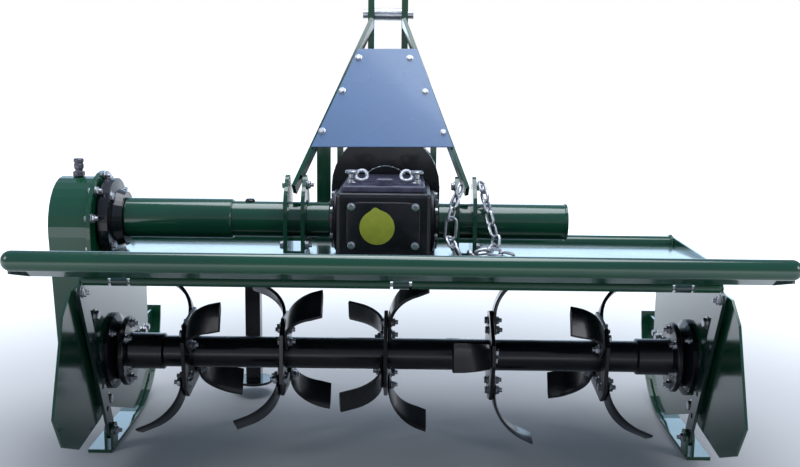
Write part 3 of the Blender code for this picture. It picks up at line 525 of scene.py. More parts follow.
def frameBolts(sizes):
    shapes = caseBolts(sizes)
    four = sizes["fourDegrees"]
    hub = onDrive(low("drive_hub")[0] + sizes["hubStep"])
    shapes += [movedTo(mediumBolt, spot, sideways) for spot in circleSpots(hub, sizes["hubCircle"], four)]
    for side, sign in (("left", -1), ("right", 1)):
        inwards, outwards = -sign * sideways, sign * sideways
        clampLow, clampHigh = low("tube_clamp_" + side), high("tube_clamp_" + side)
        spots = [(driveAxis[1], clampHigh[2] - sizes["clampTip"])]
        spots += [(y, clampLow[2] + sizes["clampFoot"])
                  for y in (clampLow[1] + sizes["clampEdge"], clampHigh[1] - sizes["clampEdge"])]
        for y, z in spots:
            shapes.append(movedTo(mediumBolt, (clampLow[0], y, z), -sideways))
            shapes.append(movedTo(mediumNut, (clampHigh[0], y, z), sideways))
        plateFace = high("side_plate_left")[0] if side == "left" else low("side_plate_right")[0]
        finFace = low("side_fin_left")[0] if side == "left" else high("side_fin_right")[0]
        for back, z in sizes["finPlaces"]:
            y = high("side_fin_" + side)[1] - back
            shapes.append(movedTo(largeBolt, (plateFace, y, z), inwards))
            shapes.append(movedTo(mediumNut, (finFace, y, z), outwards))
        strutLow, strutHigh = low("skid_strut_" + side), high("skid_strut_" + side)
        strutFace, hole = (strutHigh if side == "left" else strutLow)[0], sizes["strutHole"]
        top = (strutFace, strutLow[1] + hole, strutHigh[2] - hole)
        foot = (strutFace - sign * sizes["strutWall"], strutHigh[1] - hole, strutLow[2] + hole)
        shapes += [movedTo(mediumNut, top, inwards), movedTo(mediumNut, foot, inwards)]
        lug, lugBack = middle("skid_lug_" + side), low("skid_lug_" + side)[1]
        arm = (lug[0] + sign * sizes["armOffset"], lugBack + sizes["armReach"], lug[2])
        shapes.append(movedTo(mediumNut, arm, -forwards))
        for along in sizes["lugPlaces"]:
            shapes.append(movedTo(mediumBolt, (plateFace, lugBack + along, lug[2]), inwards))
        bearing = middle("rotor_bearing_" + side)
        edge = high("rotor_bearing_left")[0] if side == "left" else low("rotor_bearing_right")[0]
        ring = (edge + sign * sizes["bearingStep"], bearing[1], bearing[2])
        spots = circleSpots(ring, sizes["bearingCircle"], four)
        shapes += [movedTo(mediumNut, spot, inwards) for spot in spots]
    return together(shapes)


makePiece("frame_bolts", frameBolts(frameBoltSettings), zincPlate, "frame")

guardBoltSettings = {
    "halfTop": 0.055, "halfLow": 0.150, "shares": (0.16, 0.56, 0.90), "edge": 0.010, "sink": 0.0012,
}


def guardBolts(sizes):
    # bolts sunk along the guard's two slanting sides, square to its face
    lo, hi = low("mast_guard"), high("mast_guard")
    slope = unit(np.array([0.0, hi[1] - lo[1], hi[2] - lo[2]]))
    outward = np.cross(slope, sideways)
    outward *= -np.sign(outward[1])
    shapes = []
    for share in sizes["shares"]:
        half = sizes["halfLow"] + (sizes["halfTop"] - sizes["halfLow"]) * share - sizes["edge"]
        y = lo[1] + (hi[1] - lo[1]) * share - sizes["sink"]
        z = lo[2] + (hi[2] - lo[2]) * share
        for sign in (-1, 1):
            shapes.append(movedTo(smallBolt, ((lo[0] + hi[0]) / 2 + sign * half, y, z), outward))
    return together(shapes)


makePiece("guard_bolts", guardBolts(guardBoltSettings), zincPlate, "frame")
print("bolts made")

tineSettings = {
    "thickness": 0.0070, "shankWidth": 0.046, "bladeWidth": 0.058, "root": 0.042, "bendStart": 0.078,
    "bendRadius": 0.092, "bendDegrees": 66.0, "tipLength": 0.026, "reliefDegrees": 15.0, "tipRound": 0.02,
    "turns": (39.0, 50.0, 73.0, 104.0, 129.0), "flangeHalf": 0.080, "flangeCorner": 0.030,
    "flangeThickness": 0.008, "boltPlaces": ((0.008, 0.052), (-0.008, 0.072)),
    # the section, as shares of half the width and half the thickness: its leading edge is ground to a wedge
    "section": ((-1.0, -0.4), (-0.93, -1.0), (-0.5, -1.0), (0.0, -1.0), (0.55, -1.0), (0.80, -0.62), (1.0, 0.0),
                (0.80, 0.62), (0.55, 1.0), (0.0, 1.0), (-0.5, 1.0), (-0.93, 1.0)),
}


def tineShape(bend, sizes):
    # along the blade s: straight shank, arc of the bend, straight tip, and across it the section;
    # point = side(s) x + out(s) r + width(s) * across + half thickness * normal
    turn = math.radians(sizes["bendDegrees"])
    shank = sizes["bendStart"] - sizes["root"]
    curve = sizes["bendRadius"] * turn
    run = np.concatenate([np.linspace(0, shank, 4), shank + np.linspace(0, curve, 18)[1:],
                          shank + curve + np.linspace(0, sizes["tipLength"] - 0.001, 4)[1:],
                          [shank + curve + sizes["tipLength"]]])
    angle = np.clip((run - shank) / sizes["bendRadius"], 0, turn)
    rest = np.clip(run - shank - curve, 0, None)
    side = sizes["bendRadius"] * (1 - np.cos(angle)) + rest * np.sin(turn)
    out = sizes["root"] + np.clip(run, 0, shank)
    out = out + sizes["bendRadius"] * np.sin(angle) + rest * np.cos(turn)
    blade = angle / turn
    width = sizes["shankWidth"] + (sizes["bladeWidth"] - sizes["shankWidth"]) * blade
    taper = 1 - sizes["tipRound"] * np.clip((run - run[-1] + 0.002) / 0.002, 0, 1) ** 2
    v, thick = np.array(sizes["section"]).T
    thick = thick * sizes["thickness"] / 2
    across = v[None, :] * (width * taper)[:, None] / 2
    relief = across * math.tan(math.radians(sizes["reliefDegrees"])) * blade[:, None]
    normalSide, normalOut = np.cos(angle)[:, None], -np.sin(angle)[:, None]
    x = bend * (side[:, None] + thick[None] * normalSide)
    z = -(out[:, None] + relief + thick[None] * normalOut)
    rings = np.stack([x, -across, z], -1)
    if bend < 0:
        rings = rings[:, ::-1]
    return rings


def turnedAboutX(points, degrees):
    # a tine drawn hanging down swings backwards and up as the angle grows
    a = math.radians(-degrees)
    y = points[..., 1] * math.cos(a) - points[..., 2] * math.sin(a)
    z = points[..., 1] * math.sin(a) + points[..., 2] * math.cos(a)
    return np.stack([points[..., 0], y, z], -1)


def tineSet(number, sizes):
    node = "tine_set_%d" % number
    centre = np.array([middle(node)[0], rotorAxis[1], rotorAxis[2]])
    start = sizes["turns"][number - 1]
    shapes, bolts = [], []
    half = sizes["flangeHalf"]
    near = half - sizes["flangeCorner"]
    corners = [(half, near), (near, half), (-near, half), (-half, near),
               (-half, -near), (-near, -half), (near, -half), (half, -near)]
    a = math.radians(45.0 - start)
    across = np.array([0.0, math.cos(a), math.sin(a)])
    up = np.array([0.0, -math.sin(a), math.cos(a)])
    shapes.append(plate(corners, sizes["flangeThickness"], centre, across, up))
    for quarter in range(4):
        bend = -1 if quarter % 2 == 0 else 1
        seat = bend * (sizes["flangeThickness"] + sizes["thickness"]) / 2
        degrees = start + 90.0 * quarter
        rings = turnedAboutX(tineShape(bend, sizes), degrees) + centre + np.array([seat, 0, 0])
        shapes.append(loft(rings))
        for aside, along in sizes["boltPlaces"]:
            spot = turnedAboutX(np.array([0.0, aside, -along]), degrees)
            outer = centre + spot + np.array([seat + bend * sizes["thickness"] / 2, 0, 0])
            inner = centre + spot - np.array([bend * sizes["flangeThickness"] / 2, 0, 0])
            bolts.append(movedTo(tineBolt, outer, bend * sideways, quarter * 0.5))
            bolts.append(movedTo(mediumBolt, inner, -bend * sideways, quarter * 0.9))
    return together(shapes), bolts


rotorBolts = []
for number in range(1, 6):
    shape, bolts = tineSet(number, tineSettings)
    node = "tine_set_%d" % number
    makePiece("tines_%d" % number, shape, blackEnamel, "rotor", (node,))
    rotorBolts += bolts
print("tines made")


rotorSettings = {
    "tube": 0.0325, "collar": 0.0375, "collarLength": 0.070, "flange": 0.072, "flangeThickness": 0.011,
    "flangeOut": 0.573, "stub": 0.020, "weld": 0.006, "chamfer": 0.002, "boltCircle": 0.057,
    "boltDegrees": range(20, 380, 60),
}
rotorMiddle = middle("rotor_tube")[0]


def rotorShape(sizes):
    # a turned profile along X: tube, collar, weld, end flange and stub, the same at both ends
    tube, collar, flange, stub = (sizes[key] for key in ("tube", "collar", "flange", "stub"))
    weld, chamfer, half = sizes["weld"], sizes["chamfer"], sizes["flangeOut"]
    flangeIn = half - sizes["flangeThickness"]
    collarIn = flangeIn - sizes["collarLength"]
    stubEnd = (high("rotor_tube")[0] - low("rotor_tube")[0]) / 2
    right = [(tube, 0.0), (tube, collarIn - 0.004), (collar, collarIn), (collar, flangeIn - weld),
             (collar + weld * 0.35, flangeIn - weld * 0.35), (collar + weld, flangeIn),
             (flange - chamfer, flangeIn), (flange, flangeIn + chamfer), (flange, half - chamfer),
             (flange - chamfer, half), (stub + 0.004, half), (stub, half + 0.003), (stub, stubEnd)]
    left = [(radius, -along) for radius, along in right[:0:-1]]
    return revolve(left + right, (rotorMiddle, rotorAxis[1], rotorAxis[2]), sideways, 64)


makePiece("rotor_body", rotorShape(rotorSettings), blackEnamel, "rotor", ("rotor_tube",))
for sign in (-1, 1):
    face = rotorMiddle + sign * (rotorSettings["flangeOut"] - rotorSettings["flangeThickness"])
    ring = (face, rotorAxis[1], rotorAxis[2])
    spots = circleSpots(ring, rotorSettings["boltCircle"], rotorSettings["boltDegrees"])
    rotorBolts += [movedTo(mediumNut, spot, -sign * sideways) for spot in spots]
makePiece("rotor_bolts", together(rotorBolts), zincPlate, "rotor")
print("rotor made")


def weldBead(path, radius=0.003):
    # a tube whose radius ripples along the path like laid-down weld scales
    path = np.array(path, float)
    ripple = 1 + 0.16 * np.sin(np.arange(len(path)) * 1.9)
    return sweep(path, radius * ripple, 8, reference=(0.31, 0.17, 0.93))


def linePath(start, end, steps=40):
    return np.array(start) + np.linspace(0, 1, steps)[:, None] * (np.array(end) - np.array(start))


def closedBead(centre, direction, radius, bead=0.003, steps=80):
    # a whole ring of weld, closed on itself
    u, v, t = axesAbout(direction)
    a = np.linspace(0, 2 * np.pi, steps, endpoint=False)
    path = np.array(centre) + radius * (np.cos(a)[:, None] * u + np.sin(a)[:, None] * v)
    ripple = 1 + 0.15 * np.sin(a * 24)
    return sweep(path, bead * ripple, 8, closed=True, reference=t + np.array([0.01, 0.02, 0.03]))


weldSettings = {
    "tubeInset": 0.002, "tubeProud": 0.001, "sleeveRadius": 0.0378, "sleeveBead": 0.0018, "clampRadius": 0.0375,
    "clampBead": 0.0022, "beamGap": 0.001, "mastEdge": 0.003, "mastThickness": 0.014, "mastBead": 0.0025,
    "lift": 0.0005,
}


def frameWelds(sizes):
    lo, hi, tube = low("front_tube"), high("front_tube"), middle("front_tube")
    radius = (hi[2] - lo[2]) / 2 + sizes["tubeProud"]
    shapes = [closedBead((x, tube[1], tube[2]), sideways, radius)
              for x in (hi[0] - sizes["tubeInset"], lo[0] + sizes["tubeInset"])]
    sleeveEnd = onDrive(high("drive_sleeve")[0])
    shapes.append(closedBead(sleeveEnd, sideways, sizes["sleeveRadius"], sizes["sleeveBead"]))
    lo, hi = low("hitch_beam"), high("hitch_beam")
    for side, sign in (("left", -1), ("right", 1)):
        for x in (low("tube_clamp_" + side)[0], high("tube_clamp_" + side)[0]):
            shapes.append(closedBead(onDrive(x), sideways, sizes["clampRadius"], sizes["clampBead"]))
        plateX = low("hitch_plate_right")[0] if side == "right" else high("hitch_plate_left")[0]
        x = plateX - sign * sizes["beamGap"]
        for start, end in (((lo[1], lo[2]), (lo[1], hi[2])), ((hi[1], lo[2]), (hi[1], hi[2])),
                           ((lo[1], hi[2]), (hi[1], hi[2]))):
            shapes.append(weldBead(linePath((x, *start), (x, *end))))
        foot, back = low("mast_" + side), high("mast_" + side)
        footX = back[0] if side == "right" else foot[0]
        z = foot[2] + sizes["lift"]
        for x in (footX, footX - sign * sizes["mastThickness"]):
            path = linePath((x, foot[1] + sizes["mastEdge"], z), (x, back[1] - sizes["mastEdge"], z))
            shapes.append(weldBead(path, sizes["mastBead"]))
    return together(shapes)


makePiece("weld_beads", frameWelds(weldSettings), greenEnamel, "frame", sharp=80)
print("welds made")


gearboxSettings = {
    "ribs": 5, "ribShares": (0.12, 0.88), "ribHalf": (0.070, 0.0045), "ribHeight": 0.005,
    "fillerHalf": (0.016, 0.012), "fillerPlace": (0.002, 0.022),
    "coverHalf": (0.072, 0.048), "coverBolts": (0.062, 0.038),
    "cap": ((0.060, -0.004), (0.062, 0.0), (0.062, 0.006), (0.058, 0.009), (0.046, 0.011), (0.044, 0.016),
            (0.038, 0.018)),
    "capCircle": 0.052, "capFace": 0.009, "capDegrees": range(30, 390, 60),
    "lidBolts": (0.030, 0.165), "lidHalf": 0.060,
    "eyeFoot": (0.064, 0.040, 0.006), "eyeShift": (0.020, -0.006, 0.012), "eyeRadius": 0.011, "eyeWire": 0.0035,
    "eyeStem": ((0.008, -0.006), (0.008, 0.004), (0.006, 0.006), (0.006, 0.014), (0.013, 0.016), (0.0135, 0.019),
                (0.012, 0.021), (0.007, 0.0215)),
    "bossCircle": 0.046, "bossDegrees": range(45, 405, 90),
    "stickerRadius": 0.034, "stickerPlace": (-0.012, -0.0046, -0.002),
}


def gearboxParts(sizes):
    # lid ribs and filler block, rear cover, side caps, eye bolts, and the bolts that hold them
    lo, hi = low("gearbox"), high("gearbox")
    lidLow, lidHigh = low("gearbox_lid"), high("gearbox_lid")
    castings, covers, bolts = [], [], []
    rib = superRing(sizes["ribHalf"], 4.0, 36)
    ribTop = rib * (0.97, 0.6, 1) + (0, 0, sizes["ribHeight"])
    for share in np.linspace(*sizes["ribShares"], sizes["ribs"]):
        y = lidLow[1] + (lidHigh[1] - lidLow[1]) * share
        covers.append(loft(np.array([rib, ribTop]) + (ptoAxis[0], y, lidHigh[2] - 0.0005)))
    filler, (fillerX, fillerY) = superRing(sizes["fillerHalf"], 6.0, 32), sizes["fillerPlace"]
    rings = np.array([filler, filler + (0, 0, 0.012), filler * 0.85 + (0, 0, 0.0135)])
    covers.append(loft(rings + (ptoAxis[0] + fillerX, lidLow[1] + fillerY, lidHigh[2])))
    cover = superRing(sizes["coverHalf"], 7.0, 56)[:, [0, 2, 1]]
    rearCentre = np.array([ptoAxis[0], lo[1], (lo[2] + lidLow[2]) / 2])
    rings = np.array([cover + (0, 0.001, 0), cover * 0.99 - (0, 0.003, 0), cover * 0.95 - (0, 0.0045, 0)])
    castings.append(loft(rings + rearCentre))
    for sign, x in ((-1, lo[0]), (1, hi[0])):
        castings.append(revolve(sizes["cap"], onDrive(x), sign * sideways, 48))
        spots = circleSpots(onDrive(x + sign * sizes["capFace"]), sizes["capCircle"], sizes["capDegrees"])
        bolts += [movedTo(smallBolt, spot, sign * sideways) for spot in spots]
        for y in sizes["lidBolts"]:
            foot = (ptoAxis[0] + sign * sizes["lidHalf"], lidLow[1] + y, lidHigh[2])
            bolts.append(movedTo(smallBolt, foot, upwards))
    for sign in (-1, 1):
        out, back, rise = sizes["eyeFoot"]
        foot = np.array([ptoAxis[0] + sign * out, lidLow[1] + back, lidHigh[2] + rise])
        bolts.append(revolve(sizes["eyeStem"], foot, upwards, 28))
        centre = foot + np.array(sizes["eyeShift"]) * (-sign, 1, 1)
        a = np.linspace(0, 2 * np.pi, 28, endpoint=False)
        tilt = upwards * 0.8 + forwards * 0.6
        path = centre + sizes["eyeRadius"] * (np.cos(a)[:, None] * sideways + np.sin(a)[:, None] * tilt)
        bolts.append(sweep(path, sizes["eyeWire"], 10, closed=True, reference=(0.0, 0.8, -0.6)))
    coverX, coverZ = sizes["coverBolts"]
    for sx, sz in ((-1, -1), (-1, 1), (1, -1), (1, 1)):
        bolts.append(movedTo(smallBolt, rearCentre + np.array([sx * coverX, -0.0035, sz * coverZ]), -forwards))
    for angle in np.radians(sizes["bossDegrees"]):
        spot = (ptoAxis[0] + sizes["bossCircle"] * math.cos(angle), hi[1],
                ptoAxis[2] + sizes["bossCircle"] * math.sin(angle))
        bolts.append(movedTo(smallBolt, spot, forwards))
    return together(castings), together(covers), together(bolts), rearCentre


castings, covers, boltsOnBox, rearCentre = gearboxParts(gearboxSettings)
makePiece("gearbox_castings", castings, castBlack, "frame")
makePiece("gearbox_cover_ribs", covers, castLilac, "frame")
makePiece("gearbox_bolts", boltsOnBox, zincPlate, "frame")


def stickerShape(sizes):
    # a thin round film stretched near the top into a point: r(a) = r * (1 + 0.16 * bell(a))
    a = np.linspace(0, 2 * np.pi, 72, endpoint=False)
    tip = np.exp(-((a - math.radians(96)) / 0.20) ** 2)
    radius = sizes["stickerRadius"] * (1 + 0.16 * tip)
    ring = np.stack([radius * np.cos(a), np.zeros(len(a)), radius * np.sin(a)], -1)
    centre = rearCentre + np.array(sizes["stickerPlace"])
    return loft(np.array([ring, ring - [0, 0.0006, 0], ring * 0.985 - [0, 0.0008, 0]]) + centre)


makePiece("gearbox_sticker", stickerShape(gearboxSettings), stickerYellow, "frame")
print("gearbox dressed")


stubSettings = {
    "teeth": 6, "cut": 0.10, "cutFrom": 0.6,
    # along the stub as a share of its length, and the radius as a share of its own
    "profile": ((0.0, 0.82), (0.55, 0.82), (0.62, 1.0), (0.80, 1.0), (0.81, 0.86), (0.86, 0.86), (0.87, 1.0),
                (0.985, 1.0), (1.0, 0.88)),
}


def splineShape(sizes):
    # radius over the angle has flat teeth, and the end is chamfered
    lo, hi = low("pto_shaft"), high("pto_shaft")
    a = np.linspace(0, 2 * np.pi, 144, endpoint=False)
    tooth = np.clip(np.sin(a * sizes["teeth"]) * 3.0, -1, 1)
    outer = (hi[2] - lo[2]) / 2
    rings = []
    for share, size in sizes["profile"]:
        depth = sizes["cut"] if share > sizes["cutFrom"] else 0.0
        radius = outer * size * (1 - depth * (1 - tooth) / 2)
        y = np.full(len(a), lo[1] + (hi[1] - lo[1]) * share)
        rings.append(np.stack([ptoAxis[0] + radius * np.cos(a), y, ptoAxis[2] - radius * np.sin(a)], -1))
    return loft(np.array(rings))


makePiece("splined_stub", splineShape(stubSettings), darkSteel, "pto", ("pto_shaft",))

tubeSettings = {"inset": 0.00002, "chamfer": 0.0015, "rimThickness": 0.005, "plugPlace": 0.035}


def fineTube(name, node, direction, material, ends="flat", body="frame"):
    # a round bar turned about its own length, with rounded or chamfered ends
    chamfer = tubeSettings["chamfer"]
    lo, hi = low(node), high(node)
    axis = int(np.argmax(np.abs(direction)))
    length = hi[axis] - lo[axis]
    radius = (hi[2] - lo[2]) / 2 - tubeSettings["inset"]
    start = middle(node).copy()
    start[axis] = lo[axis]
    if ends == "round":
        a = np.radians(np.linspace(3, 90, 10))
        cap = np.stack([radius * np.sin(a), radius * (1 - np.cos(a))], -1)
        profile = np.concatenate([cap, np.stack([cap[::-1, 0], length - cap[::-1, 1]], -1)])
    else:
        profile = [(radius - chamfer, 0), (radius, chamfer), (radius, length - chamfer), (radius - chamfer, length)]
    makePiece(name, revolve(profile, start, direction, 64), material, body, (node,))


fineTube("tailboard_edge_tube", "tailboard_tube", sideways, greenEnamel, "round", "tailboard")
fineTube("front_cross_tube", "front_tube", sideways, greenEnamel)


def driveTubes(sizes):
    # sleeve and inner tube, the right-hand support with its rim, and a plug, all as turned profiles
    lo, hi = low("drive_sleeve"), high("drive_sleeve")
    outer = (hi[2] - lo[2]) / 2
    tube = (high("drive_tube")[2] - low("drive_tube")[2]) / 2
    length, total = hi[0] - lo[0], high("drive_tube")[0] - lo[0]
    profile = [(outer - 0.001, 0), (outer, 0.001), (outer, length - 0.0015), (outer - 0.001, length - 0.0002),
               (tube + 0.0004, length), (tube, length + 0.002), (tube, total - 0.001), (tube - 0.001, total)]
    left = revolve(profile, onDrive(lo[0]), sideways, 72)
    makePiece("drive_tubes", left, greenEnamel, "frame", ("drive_sleeve", "drive_tube"))
    supportLow, supportHigh = low("support_tube"), high("support_tube")
    rim = (supportHigh[2] - supportLow[2]) / 2
    end = supportHigh[0] - supportLow[0]
    start = end - sizes["rimThickness"]
    profile = [(tube - 0.001, 0), (tube, 0.001), (tube, start - 0.0005), (rim - 0.0006, start),
               (rim, start + 0.0008), (rim, end - 0.0008), (rim - 0.0008, end), (tube - 0.004, end),
               (tube - 0.005, end - 0.003)]
    right = revolve(profile, onDrive(supportLow[0]), sideways, 72)
    makePiece("support_stub", right, greenEnamel, "frame", ("support_tube",))
    plug = revolve([(0.010, -0.003), (0.010, 0.002), (0.0085, 0.0035), (0.0085, 0.0045), (0.007, 0.0052)],
                   (hi[0] + sizes["plugPlace"], driveAxis[1], driveAxis[2] + tube), upwards, 24)
    makePiece("tube_plug", plug, blackEnamel, "frame")


driveTubes(tubeSettings)
print("tubes made")


def breatherShape():
    # a hexagon foot under a turned, ribbed stem
    lo, hi = low("breather"), high("breather")
    centre = (middle("breather")[0], middle("breather")[1], lo[2])
    height = hi[2] - lo[2]
    hexBase = revolve([(0.0105, 0.0), (0.012, 0.001), (0.012, 0.009), (0.0105, 0.010)], centre, upwards, 6)
    stem = revolve([(0.0075, 0.009), (0.0075, 0.014), (0.0095, 0.016), (0.0098, height - 0.012),
                    (0.0085, height - 0.010), (0.0085, height - 0.008), (0.0100, height - 0.007),
                    (0.0100, height - 0.002), (0.0085, height)], centre, upwards, 28)
    return together([hexBase, stem])


makePiece("case_breather", breatherShape(), darkSteel, "frame", ("breather",))


chainSettings = {
    "wire": 0.0031, "length": 0.034, "width": 0.0225, "closeness": 0.92, "roll": 45,
    "ringLong": 0.023, "ringWide": 0.0105, "ringWire": 0.0034, "ringLean": 0.05,
}


def linkShape(sizes):
    # a stadium bent from wire: two half circles joined by straight runs, swept round
    half = (sizes["width"] - 2 * sizes["wire"]) / 2
    straight = (sizes["length"] - sizes["width"]) / 2
    a = np.linspace(-np.pi / 2, np.pi / 2, 9)
    right = np.stack([straight + half * np.cos(a), half * np.sin(a)], -1)
    path = np.concatenate([right, -right])
    path = np.stack([path[:, 0], path[:, 1], np.zeros(len(path))], -1)
    return sweep(path, sizes["wire"], 8, closed=True, reference=(0, 0, 1))


def evenPath(points, pitch):
    # a curve through the points, smoothed with a short window, read off at even steps of about one pitch
    points = np.array(points, float)
    places = np.concatenate([[0], np.cumsum(np.linalg.norm(np.diff(points, axis=0), axis=1))])
    fine = np.linspace(0, places[-1], 400)
    curve = np.stack([np.interp(fine, places, points[:, k]) for k in range(3)], -1)
    kernel = np.hanning(41)
    kernel /= kernel.sum()
    padded = np.concatenate([np.repeat(curve[:1], 20, 0), curve, np.repeat(curve[-1:], 20, 0)])
    curve = np.stack([np.convolve(padded[:, k], kernel, "valid") for k in range(3)], -1)
    walked = np.concatenate([[0], np.cumsum(np.linalg.norm(np.diff(curve, axis=0), axis=1))])
    even = np.linspace(0, walked[-1], max(2, int(walked[-1] / pitch) + 1))
    return np.stack([np.interp(even, walked, curve[:, k]) for k in range(3)], -1)


def chainAlong(points, sizes):
    # one link at each step of the curve, every other one rolled a quarter turn
    template, faces = linkShape(sizes)
    centres = evenPath(points, sizes["length"] - 4 * sizes["wire"] * sizes["closeness"])
    tangents = np.gradient(centres, axis=0)
    shapes = []
    for index, (centre, tangent) in enumerate(zip(centres, tangents)):
        t = unit(tangent)
        helper = forwards if abs(t[1]) < 0.8 else upwards
        u = unit(np.cross(helper, t))
        v = np.cross(t, u)
        roll = math.radians(sizes["roll"] if index % 2 else -sizes["roll"]) + 0.12 * math.sin(index * 2.3)
        side = u * math.cos(roll) + v * math.sin(roll)
        rise = np.cross(t, side)
        shapes.append((template @ np.array([t, side, rise]) + centre, faces))
    return together(shapes)


def ringShape(centre, sizes):
    # one long oval ring: a stadium path standing upright, leaning a little
    halfLong, halfWide, lean = sizes["ringLong"], sizes["ringWide"], sizes["ringLean"]
    a = np.linspace(-np.pi / 2, np.pi / 2, 11)
    right = np.stack([(halfLong - halfWide) + halfWide * np.cos(a), halfWide * np.sin(a)], -1)
    path = np.concatenate([right, -right])
    along = upwards * math.cos(lean) + sideways * math.sin(lean)
    across = sideways * math.cos(lean) - upwards * math.sin(lean)
    path = np.array(centre) + path[:, :1] * along + path[:, 1:] * across
    return sweep(path, sizes["ringWire"], 10, closed=True, reference=forwards)


def chainStrands(sizes):
    # the long strand hangs from the clamp's bolt and lies folded on the hood; a short one ends in a ring
    clamp, hoodTop = high("tube_clamp_right"), high("hood")[2]
    top = np.array([clamp[0] + 0.012, driveAxis[1] - 0.012, clamp[2] - 0.018])
    lie = hoodTop + 0.010
    behind = driveAxis[1] - 0.060
    route = [top, top + [0.006, -0.030, -0.026], (top[0] + 0.016, behind, top[2] - 0.070),
             (top[0] + 0.026, behind - 0.014, top[2] - 0.104), (top[0] + 0.006, behind - 0.040, lie + 0.002),
             (top[0] - 0.030, behind - 0.056, lie), (top[0] + 0.004, behind - 0.066, lie + 0.012),
             (top[0] + 0.044, behind - 0.060, lie + 0.002)]
    shapes = [chainAlong(route, sizes)]
    inner = low("tube_clamp_right")[0] - 0.009
    drop = [(inner + 0.016, behind + 0.010, top[2] - 0.004), (inner + 0.006, behind - 0.004, top[2] - 0.026),
            (inner, behind - 0.006, top[2] - 0.050)]
    shapes.append(chainAlong(drop, sizes))
    ring = np.array([inner - 0.001, behind - 0.010, top[2] - 0.078])
    shapes.append(ringShape(ring, sizes))
    tail = [(inner + 0.001, behind - 0.016, ring[2] - 0.026), (inner + 0.001, behind - 0.020, lie + 0.004),
            (inner + 0.012, behind - 0.030, lie - 0.001)]
    shapes.append(chainAlong(tail, sizes))
    return together(shapes)


makePiece("tailboard_chain_links", chainStrands(chainSettings), zincPlate, "frame",
          ("tailboard_chain",))
print("chain made")


floorSettings = {
    "size": 40.0, "drop": 0.0006, "near": 0.5, "far": 2.7, "grey": (0.50, 0.49, 0.485), "lighter": 1.08,
    "white": (0.95, 0.95, 0.95), "glow": 0.9, "roughness": 0.8, "specular": 0.1,
}


def makeFloor(settings):
    # one big sheet: grey paper under the machine that fades to glowing white with distance
    size = settings["size"]
    mesh = bpy.data.meshes.new("floor")
    corners = [(-size, -size, 0), (size, -size, 0), (size, size, 0), (-size, size, 0)]
    mesh.from_pydata(corners, [], [(0, 1, 2, 3)])
    floor = bpy.data.objects.new("floor", mesh)
    bpy.context.scene.collection.objects.link(floor)
    floor.location.z = -settings["drop"]
    material, tree, shader = newMaterial("studioFloor")
    place = tree.nodes.new("ShaderNodeTexCoord").outputs["Object"]
    distance = tree.nodes.new("ShaderNodeVectorMath")
    distance.operation = "LENGTH"
    tree.links.new(place, distance.inputs[0])
    far = rampNode(tree, distance.outputs["Value"], settings["near"], settings["far"])
    cloud = noiseNode(tree, place, 1.5, 3.0)
    grey = tuple(channel * settings["lighter"] for channel in settings["grey"])
    base = mixColour(tree, cloud, settings["grey"], grey)
    tree.links.new(mixColour(tree, far, base, settings["white"]), shader.inputs["Base Color"])
    shader.inputs["Roughness"].default_value = settings["roughness"]
    shader.inputs["Specular IOR Level"].default_value = settings["specular"]
    tree.links.new(mixColour(tree, far, (0.0, 0.0, 0.0), (1.0, 1.0, 1.0)), shader.inputs["Emission Color"])
    shader.inputs["Emission Strength"].default_value = settings["glow"]
    mesh.materials.append(material)


worldSettings = {"seen": (1.0, 1.0, 1.0), "upper": (0.26, 0.33, 0.46), "lower": (0.40, 0.41, 0.45)}


def makeWorld(settings):
    # plain white behind the machine; what it reflects is a dim room, bluer overhead
    world = bpy.data.worlds.new("studio")
    world.use_nodes = True
    tree = world.node_tree
    back = tree.nodes["Background"]
    split = tree.nodes.new("ShaderNodeSeparateXYZ")
    tree.links.new(tree.nodes.new("ShaderNodeTexCoord").outputs["Generated"], split.inputs[0])
    overhead = rampNode(tree, split.outputs["Z"], 0.0, 0.5)
    room = mixColour(tree, overhead, settings["lower"], settings["upper"])
    seen = tree.nodes.new("ShaderNodeLightPath").outputs["Is Camera Ray"]
    tree.links.new(mixColour(tree, seen, room, settings["seen"]), back.inputs["Color"])
    back.inputs["Strength"].default_value = 1.0
    bpy.context.scene.world = world


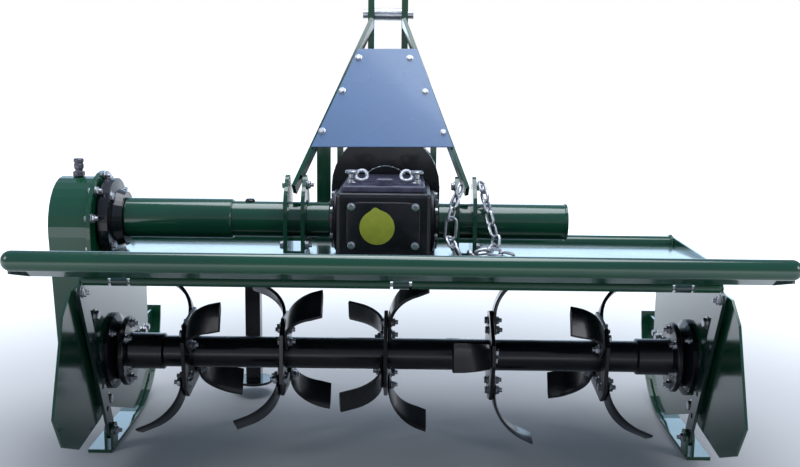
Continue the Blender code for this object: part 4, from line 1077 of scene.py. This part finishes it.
lightSettings = {
    "overhead": {"place": (0.1, 0.3, 2.8), "target": (0.0, 0.2, 0.3), "size": (2.4, 1.6),
                 "power": 60.0, "colour": (0.88, 0.94, 1.0)},
    "backPanel": {"place": (0.0, 3.6, 1.15), "target": (0.0, 0.0, 0.40), "size": (4.2, 1.1),
                  "power": 26.0, "colour": (0.50, 0.76, 1.0)},
    "leftSide": {"place": (-2.4, -1.6, 1.8), "target": (0.0, 0.0, 0.35), "size": (1.0, 1.0),
                 "power": 16.0, "colour": (1.0, 1.0, 1.0)},
    "rightSide": {"place": (2.4, -1.4, 1.6), "target": (0.0, 0.0, 0.35), "size": (1.0, 1.0),
                  "power": 14.0, "colour": (0.92, 0.94, 1.0)},
}


def makeLight(name, settings):
    # a soft panel that faces its target and stays out of sight
    data = bpy.data.lights.new(name, "AREA")
    data.shape = "RECTANGLE"
    data.size, data.size_y = settings["size"]
    data.energy = settings["power"]
    data.color = settings["colour"]
    light = bpy.data.objects.new(name, data)
    bpy.context.scene.collection.objects.link(light)
    light.location = settings["place"]
    light.visible_camera = False
    light.rotation_mode = "QUATERNION"
    facing = Vector(settings["target"]) - Vector(settings["place"])
    light.rotation_quaternion = facing.to_track_quat("-Z", "Y")


cameraSettings = {
    "place": (0.0011, -2.0439, 0.7998), "yaw": -0.131, "pitch": 9.718, "roll": 0.672, "lens": 45.55,
    "film": 36.0, "nearest": 0.05, "farthest": 200.0,
}


def makeCamera(settings):
    # placed from the point on the floor below the rotor, midway between the side plates
    data = bpy.data.cameras.new("camera")
    data.lens = settings["lens"]
    data.sensor_width = settings["film"]
    data.clip_start = settings["nearest"]
    data.clip_end = settings["farthest"]
    camera = bpy.data.objects.new("camera", data)
    bpy.context.scene.collection.objects.link(camera)
    ground = np.array([(low("side_plate_left")[0] + high("side_plate_right")[0]) / 2, rotorAxis[1], 0.0])
    camera.location = Vector(ground + np.array(settings["place"]))
    yaw, pitch, roll = (math.radians(settings[key]) for key in ("yaw", "pitch", "roll"))
    aim = Vector((math.sin(yaw) * math.cos(pitch), math.cos(yaw) * math.cos(pitch), -math.sin(pitch)))
    right = Vector((math.cos(yaw), -math.sin(yaw), 0.0))
    top = right.cross(aim)
    across = right * math.cos(roll) + top * math.sin(roll)
    turn = Matrix((across, top * math.cos(roll) - right * math.sin(roll), -aim)).transposed()
    camera.rotation_mode = "QUATERNION"
    camera.rotation_quaternion = turn.to_quaternion()
    bpy.context.scene.camera = camera


makeFloor(floorSettings)
makeWorld(worldSettings)
for lightName, lightLook in lightSettings.items():
    makeLight(lightName, lightLook)
makeCamera(cameraSettings)
bpy.context.scene.view_settings.view_transform = "Standard"
print("stage made")
